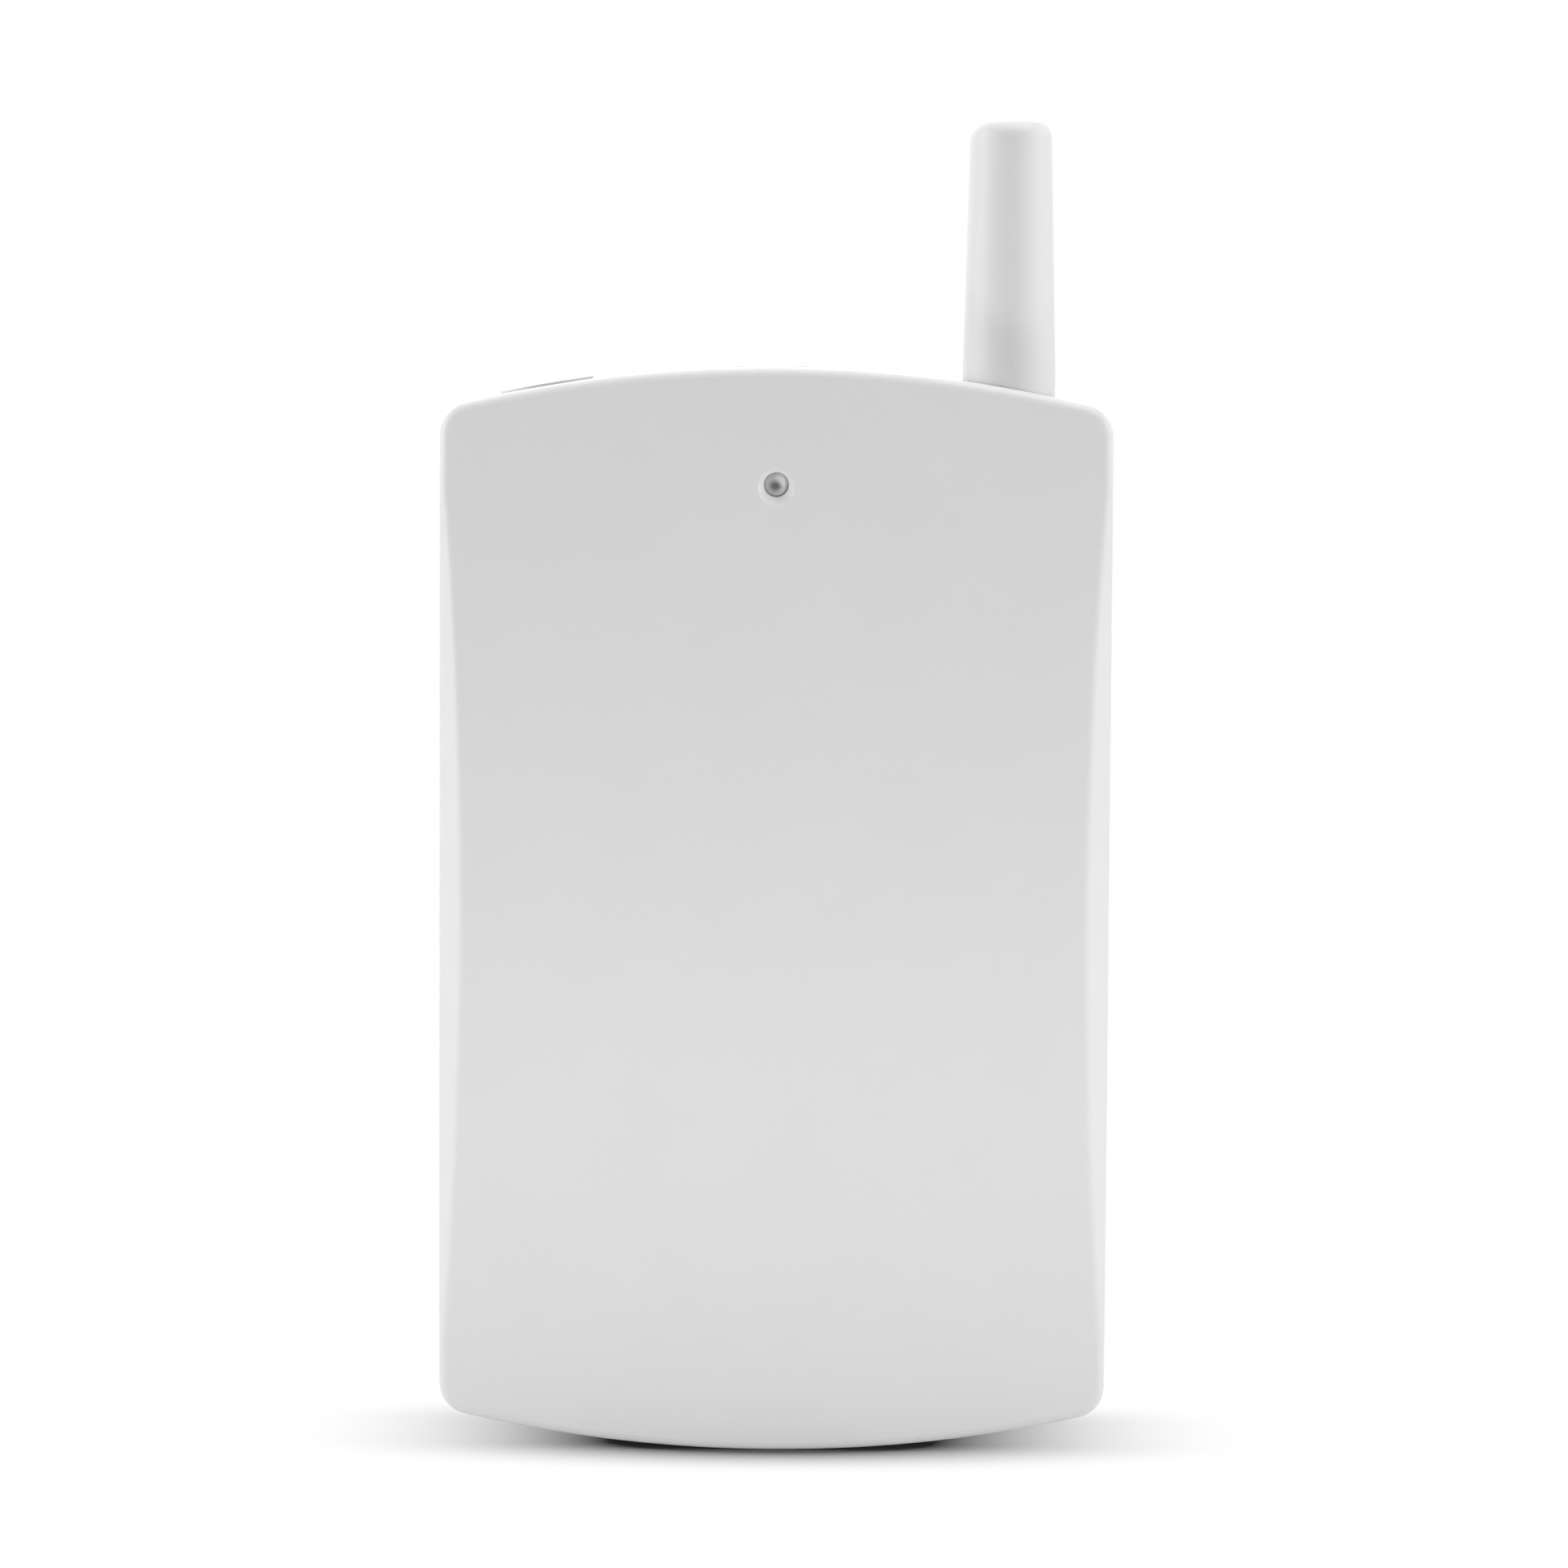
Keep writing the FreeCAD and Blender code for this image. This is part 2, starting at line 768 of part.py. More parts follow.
def make_front_cover():
    """Front shell of the case"""
    front_start = v.parting_depth + half_gap
    outer = crowned_block("cover outside", 0, front_start)
    round_edges(outer, v.edge_fillet, is_front_edge)
    inner = crowned_block("cover inside", v.wall, front_start - v.cut_margin)
    skirt_inset = v.wall - v.tongue_wall - v.slip
    rebate_depths = (front_start - v.cut_margin, v.parting_depth + v.tongue_height + v.slip)
    rebate = prism("cover rebate", "front", rebate_depths, case_outline(skirt_inset))
    shell = cut("cover shell", outer, inner, rebate)

    additions = [make_latch()]
    for side in (1, -1):
        additions.append(make_hook(side))
    post_depth = crown_depth(tamper_height) - v.wall / 2
    post_span = (plunger_tip + v.post_gap, post_depth)
    additions.append(
        cone(
            "tamper post",
            "depth",
            v.post_tip_radius,
            v.post_root_radius,
            post_span,
            (v.tamper_x, tamper_height),
        )
    )
    boss_span = (crown_depth(led_height, v.wall) - v.led_boss_height, led_face - v.wall / 2)
    additions.append(rod("lamp boss", "depth", v.led_boss_radius, boss_span, (0, led_height)))
    for share in (1, 2, 3):
        centre = battery_bottom + v.battery_width * share / 4
        rib_x = (battery_left + v.foam_inset, battery_right - v.foam_inset)
        rib_z = about(centre, v.rib_wall)
        additions.append(cover_rib("battery rib", rib_x, rib_z, battery_front + v.press_gap))
    for side in (1, -1):
        rib_x = about(v.stiffener_offset * side, v.rib_wall)
        rib_z = (lower_mount, upper_mount)
        rib_start = crown_depth(upper_mount, v.wall) - v.rib_wall
        additions.append(cover_rib("stiffening rib", rib_x, rib_z, rib_start))
        saddle_x = about(antenna_offset * side, v.collar_radius * 2)
        saddle_z = (stub_bottom, stub_bottom + v.rib_wall)
        additions.append(cover_rib("port saddle", saddle_x, saddle_z, front_start))
    full = fused("cover with ribs", shell, *additions)

    window_start = led_face - v.led_lip
    at_lamp = (0, led_height)
    seat_depths = (boss_span[0] - v.cut_margin, window_start)
    window_depths = (window_start - v.cut_margin, led_face + v.cut_margin)
    cutters = [
        rod("lamp seat", "depth", v.led_seat_radius, seat_depths, at_lamp),
        rod("lamp window", "depth", v.led_window_radius, window_depths, at_lamp),
        cone(
            "lamp bevel",
            "depth",
            v.led_window_radius,
            v.led_bevel_radius + (v.led_bevel_radius - v.led_window_radius),
            (led_face - v.led_bevel_depth, led_face + v.led_bevel_depth),
            at_lamp,
        ),
    ]
    for side in (1, -1):
        cutters.append(port_bore(side))
    return node("front_cover", cut("front_cover", full, *cutters))


# Back shell


def back_edge(edge):
    """Edges round the wall face"""
    return on_every_point(edge, lambda point: abs(point.y) < 1e-6)


def screw_places():
    """Middles of the four board screws"""
    x = v.board_width / 2 - v.screw_inset
    return [(x * side, z) for side in (1, -1) for z in screw_heights]


def make_cradle(side):
    """Half-round bed for an antenna, with a groove for its collar"""
    centre = antenna_offset * side
    half = v.collar_radius + v.cradle_margin
    inner_edge = centre - half * side
    outer_edge = centre + half * side
    x = (inner_edge, outer_edge) if side > 0 else (outer_edge, inner_edge)
    top = end_height(v.wall / 2, antenna_offset + half)
    bed = block("cradle", x, (v.floor_wall / 2, v.parting_depth - half_gap), (stub_bottom, top))
    groove_z = (collar_bottom - v.port_play, half_height)
    groove_radius = v.collar_radius + v.port_play
    groove = rod("collar groove", "z", groove_radius, groove_z, (centre, v.parting_depth))
    return cut("bed", bed, groove)


def make_back_shell():
    """Rear shell of the case"""
    rim = v.parting_depth - half_gap
    outside = new_body("back outside")
    pad(outside, "front", (0, rim), case_outline(0))
    round_edges(outside, v.back_fillet, back_edge)
    tongue_inset = v.wall - v.tongue_wall
    tongue_end = v.parting_depth + v.tongue_height
    pad(outside, "front", (v.floor_wall, tongue_end), case_outline(tongue_inset))
    pocket(outside, "front", (v.floor_wall, tongue_end + v.cut_margin), case_outline(v.wall))

    additions = []
    for x, z in screw_places():
        span = (v.floor_wall / 2, v.board_depth)
        additions.append(rod("standoff", "depth", v.standoff_radius, span, (x, z)))
    for z in (lower_mount, upper_mount):
        span = (v.floor_wall / 2, v.floor_wall + v.mount_boss_height)
        additions.append(rod("mount boss", "depth", v.mount_boss_radius, span, (0, z)))
    for side in (1, -1):
        additions.append(make_cradle(side))
    rib_depth = (v.floor_wall / 2, v.parting_depth - v.wall)
    rib_z = (battery_top + v.press_gap, battery_top + v.press_gap + v.rib_wall)
    for rib_x in (
        (battery_left + v.foam_inset, -v.mount_clear),
        (v.mount_clear, battery_right - v.foam_inset),
    ):
        additions.append(block("battery rib", rib_x, rib_depth, rib_z))
    stop_x = (battery_right + v.press_gap, battery_right + v.press_gap + v.rib_wall)
    stop_depth = (v.floor_wall / 2, battery_middle - v.clip_thickness / 2 - v.press_gap)
    stop_z = (battery_bottom + v.battery_corner, battery_top - v.battery_corner)
    additions.append(block("battery stop", stop_x, stop_depth, stop_z))
    full = fused("back with ribs", outside, *additions)

    cutters = []
    for x, z in screw_places():
        span = (v.floor_wall, v.board_depth + v.cut_margin)
        cutters.append(rod("pilot hole", "depth", v.screw_radius + v.moulding_play, span, (x, z)))
    for z in (lower_mount, upper_mount):
        span = (-v.cut_margin, v.parting_depth)
        cutters.append(rod("mount hole", "depth", v.mount_hole_radius, span, (0, z)))
    for side in (1, -1):
        cutters.append(port_bore(side))
        window_x = about(v.hook_offset * side, v.hook_width + v.parting_gap * 3)
        window_depth = (hinge_depth - v.hook_reach - v.parting_gap * 3, hinge_depth - v.hook_bar)
        window_z = (hinge_height - v.cut_margin, hinge_height + hook_inner_radius)
        cutters.append(block("hook window", window_x, window_depth, window_z))
    latch_x = about(0, v.latch_width + v.parting_gap * 4)
    latch_depth = (latch_back - v.parting_gap * 2, latch_back + v.latch_nib + v.parting_gap * 2)
    latch_z = (nib_top, half_height + v.cut_margin)
    cutters.append(block("latch window", latch_x, latch_depth, latch_z))
    return node("back_shell", cut("back_shell", full, *cutters))


# Antenna


def make_antenna():
    """Moulded sleeve with its collar, the whip inside it and the plug in the unused port"""
    base = v.antenna_base_radius
    tip = v.antenna_tip_radius
    top = half_height + v.antenna_reach
    soft = v.antenna_tip_fillet
    bore = v.whip_radius + v.moulding_play
    whip_top = top - v.whip_cover
    at_port = (antenna_offset, v.parting_depth)
    sleeve = [
        (bore, stub_bottom),
        (base, stub_bottom),
        (base, collar_bottom),
        (v.collar_radius, collar_bottom),
        (v.collar_radius, collar_top),
        (base, collar_top),
        (base, half_height),
        (tip, top - soft, soft),
        (tip - soft, top),
        (0, top),
        (0, whip_top),
        (bore, whip_top),
    ]
    node("antenna_sleeve", turned("antenna_sleeve", "z", sleeve, at_port))

    turn_height = (board_top - v.whip_drop).value
    x = antenna_offset.value
    path = [
        Vector(x, -v.parting_depth.value, whip_top.value),
        Vector(x, -v.parting_depth.value, turn_height),
        Vector(x, -board_front.value, turn_height),
    ]
    node("antenna_whip", tube("antenna_whip", path, v.whip_radius.value))

    beyond = half_height + v.cut_margin
    outline = [
        (0, stub_bottom),
        (base, stub_bottom),
        (base, collar_bottom),
        (v.collar_radius, collar_bottom),
        (v.collar_radius, collar_top),
        (base, collar_top),
        (base, beyond),
        (0, beyond),
    ]
    plug = turned("port_plug", "z", outline, (-antenna_offset, v.parting_depth))
    reach = base + v.cut_margin
    heights = [end_height(-v.plug_proud, antenna_offset + reach * side) for side in (1, -1)]
    above = [
        (-reach, heights[0], -(v.end_arc_radius + v.plug_proud)),
        (reach, heights[1]),
        (reach, beyond + v.cut_margin),
        (-reach, beyond + v.cut_margin),
    ]
    pocket(plug, "front", (-reach, reach), above)
    node("port_plug", plug)


def tube(label, points, radius):
    """Round wire along straight runs joined by tangent arcs"""
    edges = []
    last = points[0]
    bend_radii = []
    for before, corner, after in zip(points, points[1:], points[2:]):
        way_in = (corner - before).normalize()
        way_out = (after - corner).normalize()
        half_turn = way_in.getAngle(way_out) / 2
        shorter = min((corner - before).Length, (after - corner).Length)
        bend = BEND_SHARE * shorter / math.tan(half_turn)
        bend_radii.append(round(bend, 2))
        reach = bend * math.tan(half_turn)
        start = corner - way_in * reach
        end = corner + way_out * reach
        towards = (way_out - way_in).normalize()
        middle = corner + towards * (bend / math.cos(half_turn) - bend)
        edges.append(Part.LineSegment(last, start).toShape())
        edges.append(Part.Arc(start, middle, end).toShape())
        last = end
    edges.append(Part.LineSegment(last, points[-1]).toShape())
    path = Part.Wire(edges)
    section = Part.Wire(Part.makeCircle(radius, points[0], points[1] - points[0]))
    wire = named(doc.addObject("Part::Feature", "Tube"), label)
    wire.Shape = path.makePipeShell([section], True, False)
    expected = math.pi * radius * radius * path.Length
    share = wire.Shape.Volume / expected
    print(label, "bend radii", bend_radii, "length", round(path.Length, 1), "volume share", round(share, 3))
    return wire


# Circuit board and what is soldered to it


def make_board():
    """Board with its screw holes and the hole that gives a screwdriver its way to the upper mount"""
    outline = rectangle(about(0, v.board_width), (board_bottom, board_top), v.board_corner)
    board = prism("board blank", "front", (v.board_depth, board_front), outline)
    through = (v.board_depth - v.cut_margin, board_front + v.cut_margin)
    cutters = [rod("access hole", "depth", v.access_hole_radius, through, (0, upper_mount))]
    for place in screw_places():
        hole = v.screw_radius + v.screw_hole_play
        cutters.append(rod("screw hole", "depth", hole, through, place))
    node("circuit_board", cut("circuit_board", board, *cutters))

    screws = []
    for x, z in screw_places():
        head_front = board_front + v.screw_head_height
        shoulder = v.screw_head_height / 2
        profile = [
            (0, board_front - v.screw_length),
            (v.screw_radius, board_front - v.screw_length + v.screw_radius),
            (v.screw_radius, board_front),
            (v.screw_head_radius, board_front),
            (v.screw_head_radius, board_front + shoulder),
            (v.screw_head_radius - shoulder, head_front),
            (0, head_front),
        ]
        screw = turned("screw", "depth", profile, (x, z))
        slot_depth = (head_front - v.screw_slot_depth, head_front + v.cut_margin)
        across = about(x, v.screw_slot_length)
        upright = about(z, v.screw_slot_length)
        first = block("slot", across, slot_depth, about(z, v.screw_slot))
        second = block("slot", about(x, v.screw_slot), slot_depth, upright)
        screws.append(cut("screw with slots", screw, first, second))
    node("board_screws", group("board_screws", screws))


def make_lamp():
    """Status lamp on its legs, held up by a spacer tube"""
    at_lamp = (0, led_height)
    shaft = led_tip - v.led_radius
    lens = [
        (0, led_back),
        (v.led_flange_radius, led_back),
        (v.led_flange_radius, led_back + v.led_flange_wall),
        (v.led_radius, led_back + v.led_flange_wall),
        (v.led_radius, shaft, v.led_radius),
        (0, led_tip),
    ]
    node("status_lamp", turned("status_lamp", "depth", lens, at_lamp))
    spacer = rod("spacer tube", "depth", v.led_spacer_radius, (board_front, led_back), at_lamp)
    legs = []
    holes = []
    for side in (1, -1):
        centre = v.pin_pitch / 2 * side
        leg_z = about(led_height, v.led_leg)
        legs.append(block("leg", about(centre, v.led_leg), (board_front, led_back), leg_z))
        play = v.led_leg + v.moulding_play * 2
        hole_depth = (board_front - v.cut_margin, led_back + v.cut_margin)
        holes.append(block("leg hole", about(centre, play), hole_depth, about(led_height, play)))
    node("lamp_legs", group("lamp_legs", legs))
    node("lamp_spacer", cut("lamp_spacer", spacer, *holes))


def make_sensor():
    """Vibration sensor: a brass disc with a ceramic layer and a mass, clamped at its rim in a round case"""
    at_sensor = (v.sensor_x, board_bottom + v.sensor_rise)
    base = board_front
    top = base + v.sensor_height
    lid_start = top - v.sensor_lid_wall
    inner = v.sensor_radius - v.sensor_wall
    disc_base = base + v.disc_depth
    ledge = v.disc_radius - v.disc_ledge
    cup = [
        (0, base),
        (v.sensor_radius, base),
        (v.sensor_radius, lid_start),
        (inner, lid_start),
        (inner, disc_base),
        (ledge, disc_base),
        (ledge, base + v.sensor_wall),
        (0, base + v.sensor_wall),
    ]
    node("sensor_case", turned("sensor_case", "depth", cup, at_sensor))
    clamp = disc_base + v.disc_thickness
    lid = [
        (0, lid_start),
        (ledge, lid_start),
        (ledge, clamp),
        (inner - v.moulding_play, clamp),
        (inner - v.moulding_play, lid_start),
        (v.sensor_radius, lid_start),
        (v.sensor_radius, top - v.can_chamfer),
        (v.sensor_radius - v.can_chamfer, top),
        (0, top),
    ]
    node("sensor_lid", turned("sensor_lid", "depth", lid, at_sensor))
    node("sensor_disc", rod("sensor_disc", "depth", v.disc_radius, (disc_base, clamp), at_sensor))
    ceramic_end = clamp + v.ceramic_thickness
    node("sensor_ceramic", rod("sensor_ceramic", "depth", v.ceramic_radius, (clamp, ceramic_end), at_sensor))
    mass_start = disc_base - v.mass_height
    node("sensor_mass", rod("sensor_mass", "depth", v.mass_radius, (mass_start, disc_base), at_sensor))


def make_trimmer():
    """Sensitivity control: a square body with a slotted rotor"""
    z = board_bottom + v.trimmer_rise
    at_rotor = (v.trimmer_x, z)
    top = board_front + v.trimmer_height
    body = block(
        "trimmer block",
        about(v.trimmer_x, v.trimmer_side),
        (board_front, top),
        about(z, v.trimmer_side),
    )
    seat = top - v.rotor_seat
    bore_depths = (seat, top + v.cut_margin)
    hole = rod("rotor bore", "depth", v.rotor_radius + v.running_play, bore_depths, at_rotor)
    node("trimmer_body", cut("trimmer_body", body, hole))
    rotor_top = top + v.rotor_stand
    disc = rod("rotor disc", "depth", v.rotor_radius, (seat + v.running_play, rotor_top), at_rotor)
    slot_depth = (rotor_top - v.rotor_slot_depth, rotor_top + v.cut_margin)
    length = v.rotor_slot_length
    upright = block("slot", about(v.trimmer_x, v.rotor_slot), slot_depth, about(z, length))
    level = block("slot", about(v.trimmer_x, length), slot_depth, about(z, v.rotor_slot))
    node("trimmer_rotor", cut("trimmer_rotor", disc, upright, level))


def make_power_switch():
    """Slide switch: its knob runs in a slot"""
    z = board_bottom + v.switch_rise
    top = board_front + v.switch_height
    body = block(
        "switch block",
        about(v.switch_x, v.switch_length),
        (board_front, top),
        about(z, v.switch_width),
    )
    slot_floor = top - v.switch_slot_depth
    slot_x = about(v.switch_x, v.knob_length + v.switch_travel + v.slip * 2)
    slot_z = about(z, v.knob_width + v.running_play * 2)
    slot = block("switch slot", slot_x, (slot_floor, top + v.cut_margin), slot_z)
    node("power_switch_body", cut("power_switch_body", body, slot))
    knob_x = about(v.switch_x - v.switch_travel / 2, v.knob_length)
    knob_depth = (slot_floor + v.running_play, top + v.knob_height)
    node("power_switch_knob", block("power_switch_knob", knob_x, knob_depth, about(z, v.knob_width)))


def make_tamper_switch():
    """Switch whose plunger is held down by a post of the closed cover"""
    at_plunger = (v.tamper_x, tamper_height)
    top = board_front + v.tamper_height
    body = block(
        "tamper block",
        about(v.tamper_x, v.tamper_side),
        (board_front, top),
        about(tamper_height, v.tamper_side),
    )
    collar_end = top + v.tamper_collar_height
    collar_depths = (top - v.tamper_collar_height, collar_end)
    collar = rod("tamper collar", "depth", v.tamper_collar_radius, collar_depths, at_plunger)
    housing = fused("tamper housing", body, collar)
    bore_radius = v.plunger_radius + v.running_play
    bore_depths = (plunger_back - v.slip, collar_end + v.cut_margin)
    bore = rod("plunger bore", "depth", bore_radius, bore_depths, at_plunger)
    node("tamper_switch_body", cut("tamper_switch_body", housing, bore))
    plunger = [
        (0, plunger_back),
        (v.plunger_radius, plunger_back),
        (v.plunger_radius, plunger_tip - v.plunger_chamfer),
        (v.plunger_radius - v.plunger_chamfer, plunger_tip),
        (0, plunger_tip),
    ]
    node("tamper_plunger", turned("tamper_plunger", "depth", plunger, at_plunger))


def make_coding_pins():
    """Row of three pins in its plastic block, with a jumper over two of them"""
    centre = board_bottom + v.header_rise
    block_top = board_front + v.header_height
    pin_top = block_top + v.pin_length
    body = block(
        "header block",
        about(v.header_x, v.pin_pitch),
        (board_front, block_top),
        about(centre, v.pin_pitch * 3),
    )
    pins = []
    holes = []
    for step in (-1, 0, 1):
        z = centre + v.pin_pitch * step
        pins.append(block("pin", about(v.header_x, v.pin_side), (board_front, pin_top), about(z, v.pin_side)))
        play = v.pin_side + v.moulding_play * 2
        depths = (board_front - v.cut_margin, block_top + v.cut_margin)
        holes.append(block("pin hole", about(v.header_x, play), depths, about(z, play)))
    node("header_block", cut("header_block", body, *holes))
    node("header_pins", group("header_pins", pins))
    cap_start = block_top + v.running_play
    cap_z = about(centre + v.pin_pitch / 2, v.pin_pitch * 2 - v.slip)
    cap_depth = (cap_start, cap_start + v.jumper_height)
    cap = block("jumper block", about(v.header_x, v.jumper_side), cap_depth, cap_z)
    bores = []
    for step in (0, 1):
        z = centre + v.pin_pitch * step
        play = v.pin_side + v.jumper_bore_play * 2
        depths = (cap_start - v.cut_margin, pin_top + v.running_play)
        bores.append(block("jumper bore", about(v.header_x, play), depths, about(z, play)))
    node("jumper_cap", cut("jumper_cap", cap, *bores))


def make_chip():
    """Coding chip in a two row package"""
    centre = (screw_heights[0] + screw_heights[1]) / 2
    back = board_front + v.chip_standoff
    front = back + v.chip_height
    chamfer = v.chip_standoff
    half = v.chip_width / 2
    section = [
        (v.chip_x - half + chamfer / 2, back),
        (v.chip_x + half - chamfer / 2, back),
        (v.chip_x + half, back + v.chip_height / 2),
        (v.chip_x + half - chamfer / 2, front),
        (v.chip_x - half + chamfer / 2, front),
        (v.chip_x - half, back + v.chip_height / 2),
    ]
    body = prism("chip moulding", "level", about(centre, v.chip_length), section)
    at_notch = (v.chip_x, centre + v.chip_length / 2)
    notch_depths = (front - chamfer, front + v.cut_margin)
    notch = rod("chip notch", "depth", v.chip_notch_radius, notch_depths, at_notch)
    node("coding_chip", cut("coding_chip", body, notch))

    shoulder = back + v.chip_height / 2
    thick = v.chip_leg_thickness
    reach = v.chip_leg_row / 2
    legs = []
    for side in (1, -1):
        outer = v.chip_x + reach * side
        edge = v.chip_x + half * side
        bend = outer - thick * side
        leg_outline = [
            (edge, shoulder),
            (bend, shoulder - thick),
            (bend, board_front),
            (outer, board_front),
            (outer, shoulder),
        ]
        first = centre - v.pin_pitch * ((v.chip_legs_per_side - 1) / 2)
        leg = prism("chip leg", "level", about(first, v.chip_leg_width), leg_outline)
        doc.recompute()
        for number in range(int(v.chip_legs_per_side.value)):
            legs.append(leg.Shape.translated(Vector(0, 0, v.pin_pitch.value * number)))
    rows = named(doc.addObject("Part::Feature", "Legs"), "chip_legs")
    rows.Shape = Part.makeCompound(legs)
    node("chip_legs", rows)


def make_radio_parts():
    """Resonator in its metal can and the transmitter transistor"""
    at_can = (v.resonator_x, board_top - v.resonator_drop)
    rim_end = board_front + v.resonator_rim_wall
    top = board_front + v.resonator_height
    can = [
        (0, board_front),
        (v.resonator_rim_radius, board_front),
        (v.resonator_rim_radius, rim_end),
        (v.resonator_radius, rim_end),
        (v.resonator_radius, top - v.can_chamfer),
        (v.resonator_radius - v.can_chamfer, top),
        (0, top),
    ]
    node("resonator_can", turned("resonator_can", "depth", can, at_can))
    z = board_top - v.transistor_drop
    start = board_front + v.transistor_stand
    depths = (start, start + v.transistor_height)
    round_part = rod("transistor round", "depth", v.transistor_radius, depths, (v.transistor_x, z))
    side = v.transistor_radius * 4
    flat_z = (z - side, z - v.transistor_flat)
    flat_depths = (start - v.cut_margin, depths[1] + v.cut_margin)
    flat = block("transistor flat", about(v.transistor_x, side), flat_depths, flat_z)
    node("transistor", cut("transistor", round_part, flat))
    legs = []
    for step in (-1, 0, 1):
        x = v.transistor_x + v.pin_pitch / 2 * step
        legs.append(block("leg", about(x, v.led_leg), (board_front, start), about(z, v.led_leg)))
    node("transistor_legs", group("transistor_legs", legs))


def make_can_capacitor(name, x, z, radius, height):
    """Upright can capacitor with the rolled groove near its foot"""
    top = board_front + height
    groove = v.can_groove
    low = board_front + v.can_groove_rise
    can = [
        (0, board_front),
        (radius, board_front),
        (radius, low),
        (radius - groove, low + groove),
        (radius, low + groove * 2),
        (radius, top - v.can_chamfer),
        (radius - v.can_chamfer, top),
        (0, top),
    ]
    node(name, turned(name, "depth", can, (x, z)))


def make_resistors():
    """Row of small chip resistors and their end caps"""
    z = board_bottom + v.resistor_rise
    depths = (board_front, board_front + v.resistor_height)
    bodies = []
    caps = []
    half = v.resistor_length / 2
    for number in range(int(v.resistor_count.value)):
        x = about(v.resistor_x + v.resistor_pitch * number, v.resistor_width)
        bodies.append(block("resistor", x, depths, (z - half + v.resistor_cap, z + half - v.resistor_cap)))
        caps.append(block("resistor cap", x, depths, (z - half, z - half + v.resistor_cap)))
        caps.append(block("resistor cap", x, depths, (z + half - v.resistor_cap, z + half)))
    node("resistors", group("resistors", bodies))
    node("resistor_caps", group("resistor_caps", caps))


# Battery and its lead

terminal_heights = [battery_bottom + v.battery_width / 2 + v.terminal_spacing / 2 * side for side in (1, -1)]
clip_left = battery_right + v.clip_gap
clip_right = clip_left + v.clip_height
clip_centre = battery_bottom + v.battery_width / 2
clip_top = clip_centre + v.clip_width / 2


def make_battery():
    """Nine volt block: rounded jacket, end plates and the two snap terminals"""
    depths = (battery_back, battery_front)
    heights = (battery_bottom, battery_top)
    ends = (battery_left + v.battery_end_plate, battery_right - v.battery_end_plate)
    jacket = prism("jacket", "side", ends, rectangle(depths, heights, v.battery_corner))
    inset = v.battery_end_inset
    inner_depths = (depths[0] + inset, depths[1] - inset)
    inner_heights = (heights[0] + inset, heights[1] - inset)
    inner = rectangle(inner_depths, inner_heights, v.battery_corner - inset)
    core = prism("end plates", "side", (battery_left, battery_right), inner)
    node("battery", fused("battery", jacket, core))
    stud_x = (battery_right, battery_right + v.terminal_height)
    stud_height, crown_height = terminal_heights
    stud = rod("stud", "x", v.stud_radius, stud_x, (battery_middle, stud_height))
    crown = rod("crown", "x", v.terminal_crown_radius, stud_x, (battery_middle, crown_height))
    hollow_x = (battery_right + v.contact_wall, battery_right + v.terminal_height + v.cut_margin)
    hollow_radius = v.stud_radius + v.slip * 2
    hollow = rod("crown hollow", "x", hollow_radius, hollow_x, (battery_middle, crown_height))
    node("battery_terminals", group("battery_terminals", [stud, cut("crown ring", crown, hollow)]))

    foam_x = (battery_left + v.foam_inset, battery_right - v.foam_inset)
    foam_z = (battery_bottom + v.foam_inset, battery_top - v.foam_inset)
    node("battery_foam", block("battery_foam", foam_x, (v.floor_wall, battery_back), foam_z))


def make_clip():
    """Snap connector on the battery's end, with its two contacts"""
    depths = about(battery_middle, v.clip_thickness)
    heights = about(clip_centre, v.clip_width)
    outline = rectangle(depths, heights, v.clip_corner)
    moulding = prism("clip moulding", "side", (clip_left, clip_right), outline)
    recess_end = clip_left + v.clip_recess
    recess_x = (clip_left - v.cut_margin, recess_end)
    recesses = [
        rod("recess", "x", v.clip_recess_radius, recess_x, (battery_middle, z))
        for z in terminal_heights
    ]
    node("battery_clip", cut("battery_clip", moulding, *recesses))
    stud_height, crown_height = terminal_heights
    socket_x = (clip_left, recess_end)
    socket_bore = v.stud_radius + v.slip
    socket_radius = socket_bore + v.contact_wall
    socket = rod("socket", "x", socket_radius, socket_x, (battery_middle, stud_height))
    hollow_x = (clip_left - v.cut_margin, recess_end - v.running_play)
    hollow = rod("socket hollow", "x", socket_bore, hollow_x, (battery_middle, stud_height))
    peg_x = (battery_right + v.contact_wall + v.slip, recess_end)
    peg = rod("peg", "x", v.stud_radius, peg_x, (battery_middle, crown_height))
    node("clip_contacts", group("clip_contacts", [cut("socket ring", socket, hollow), peg]))


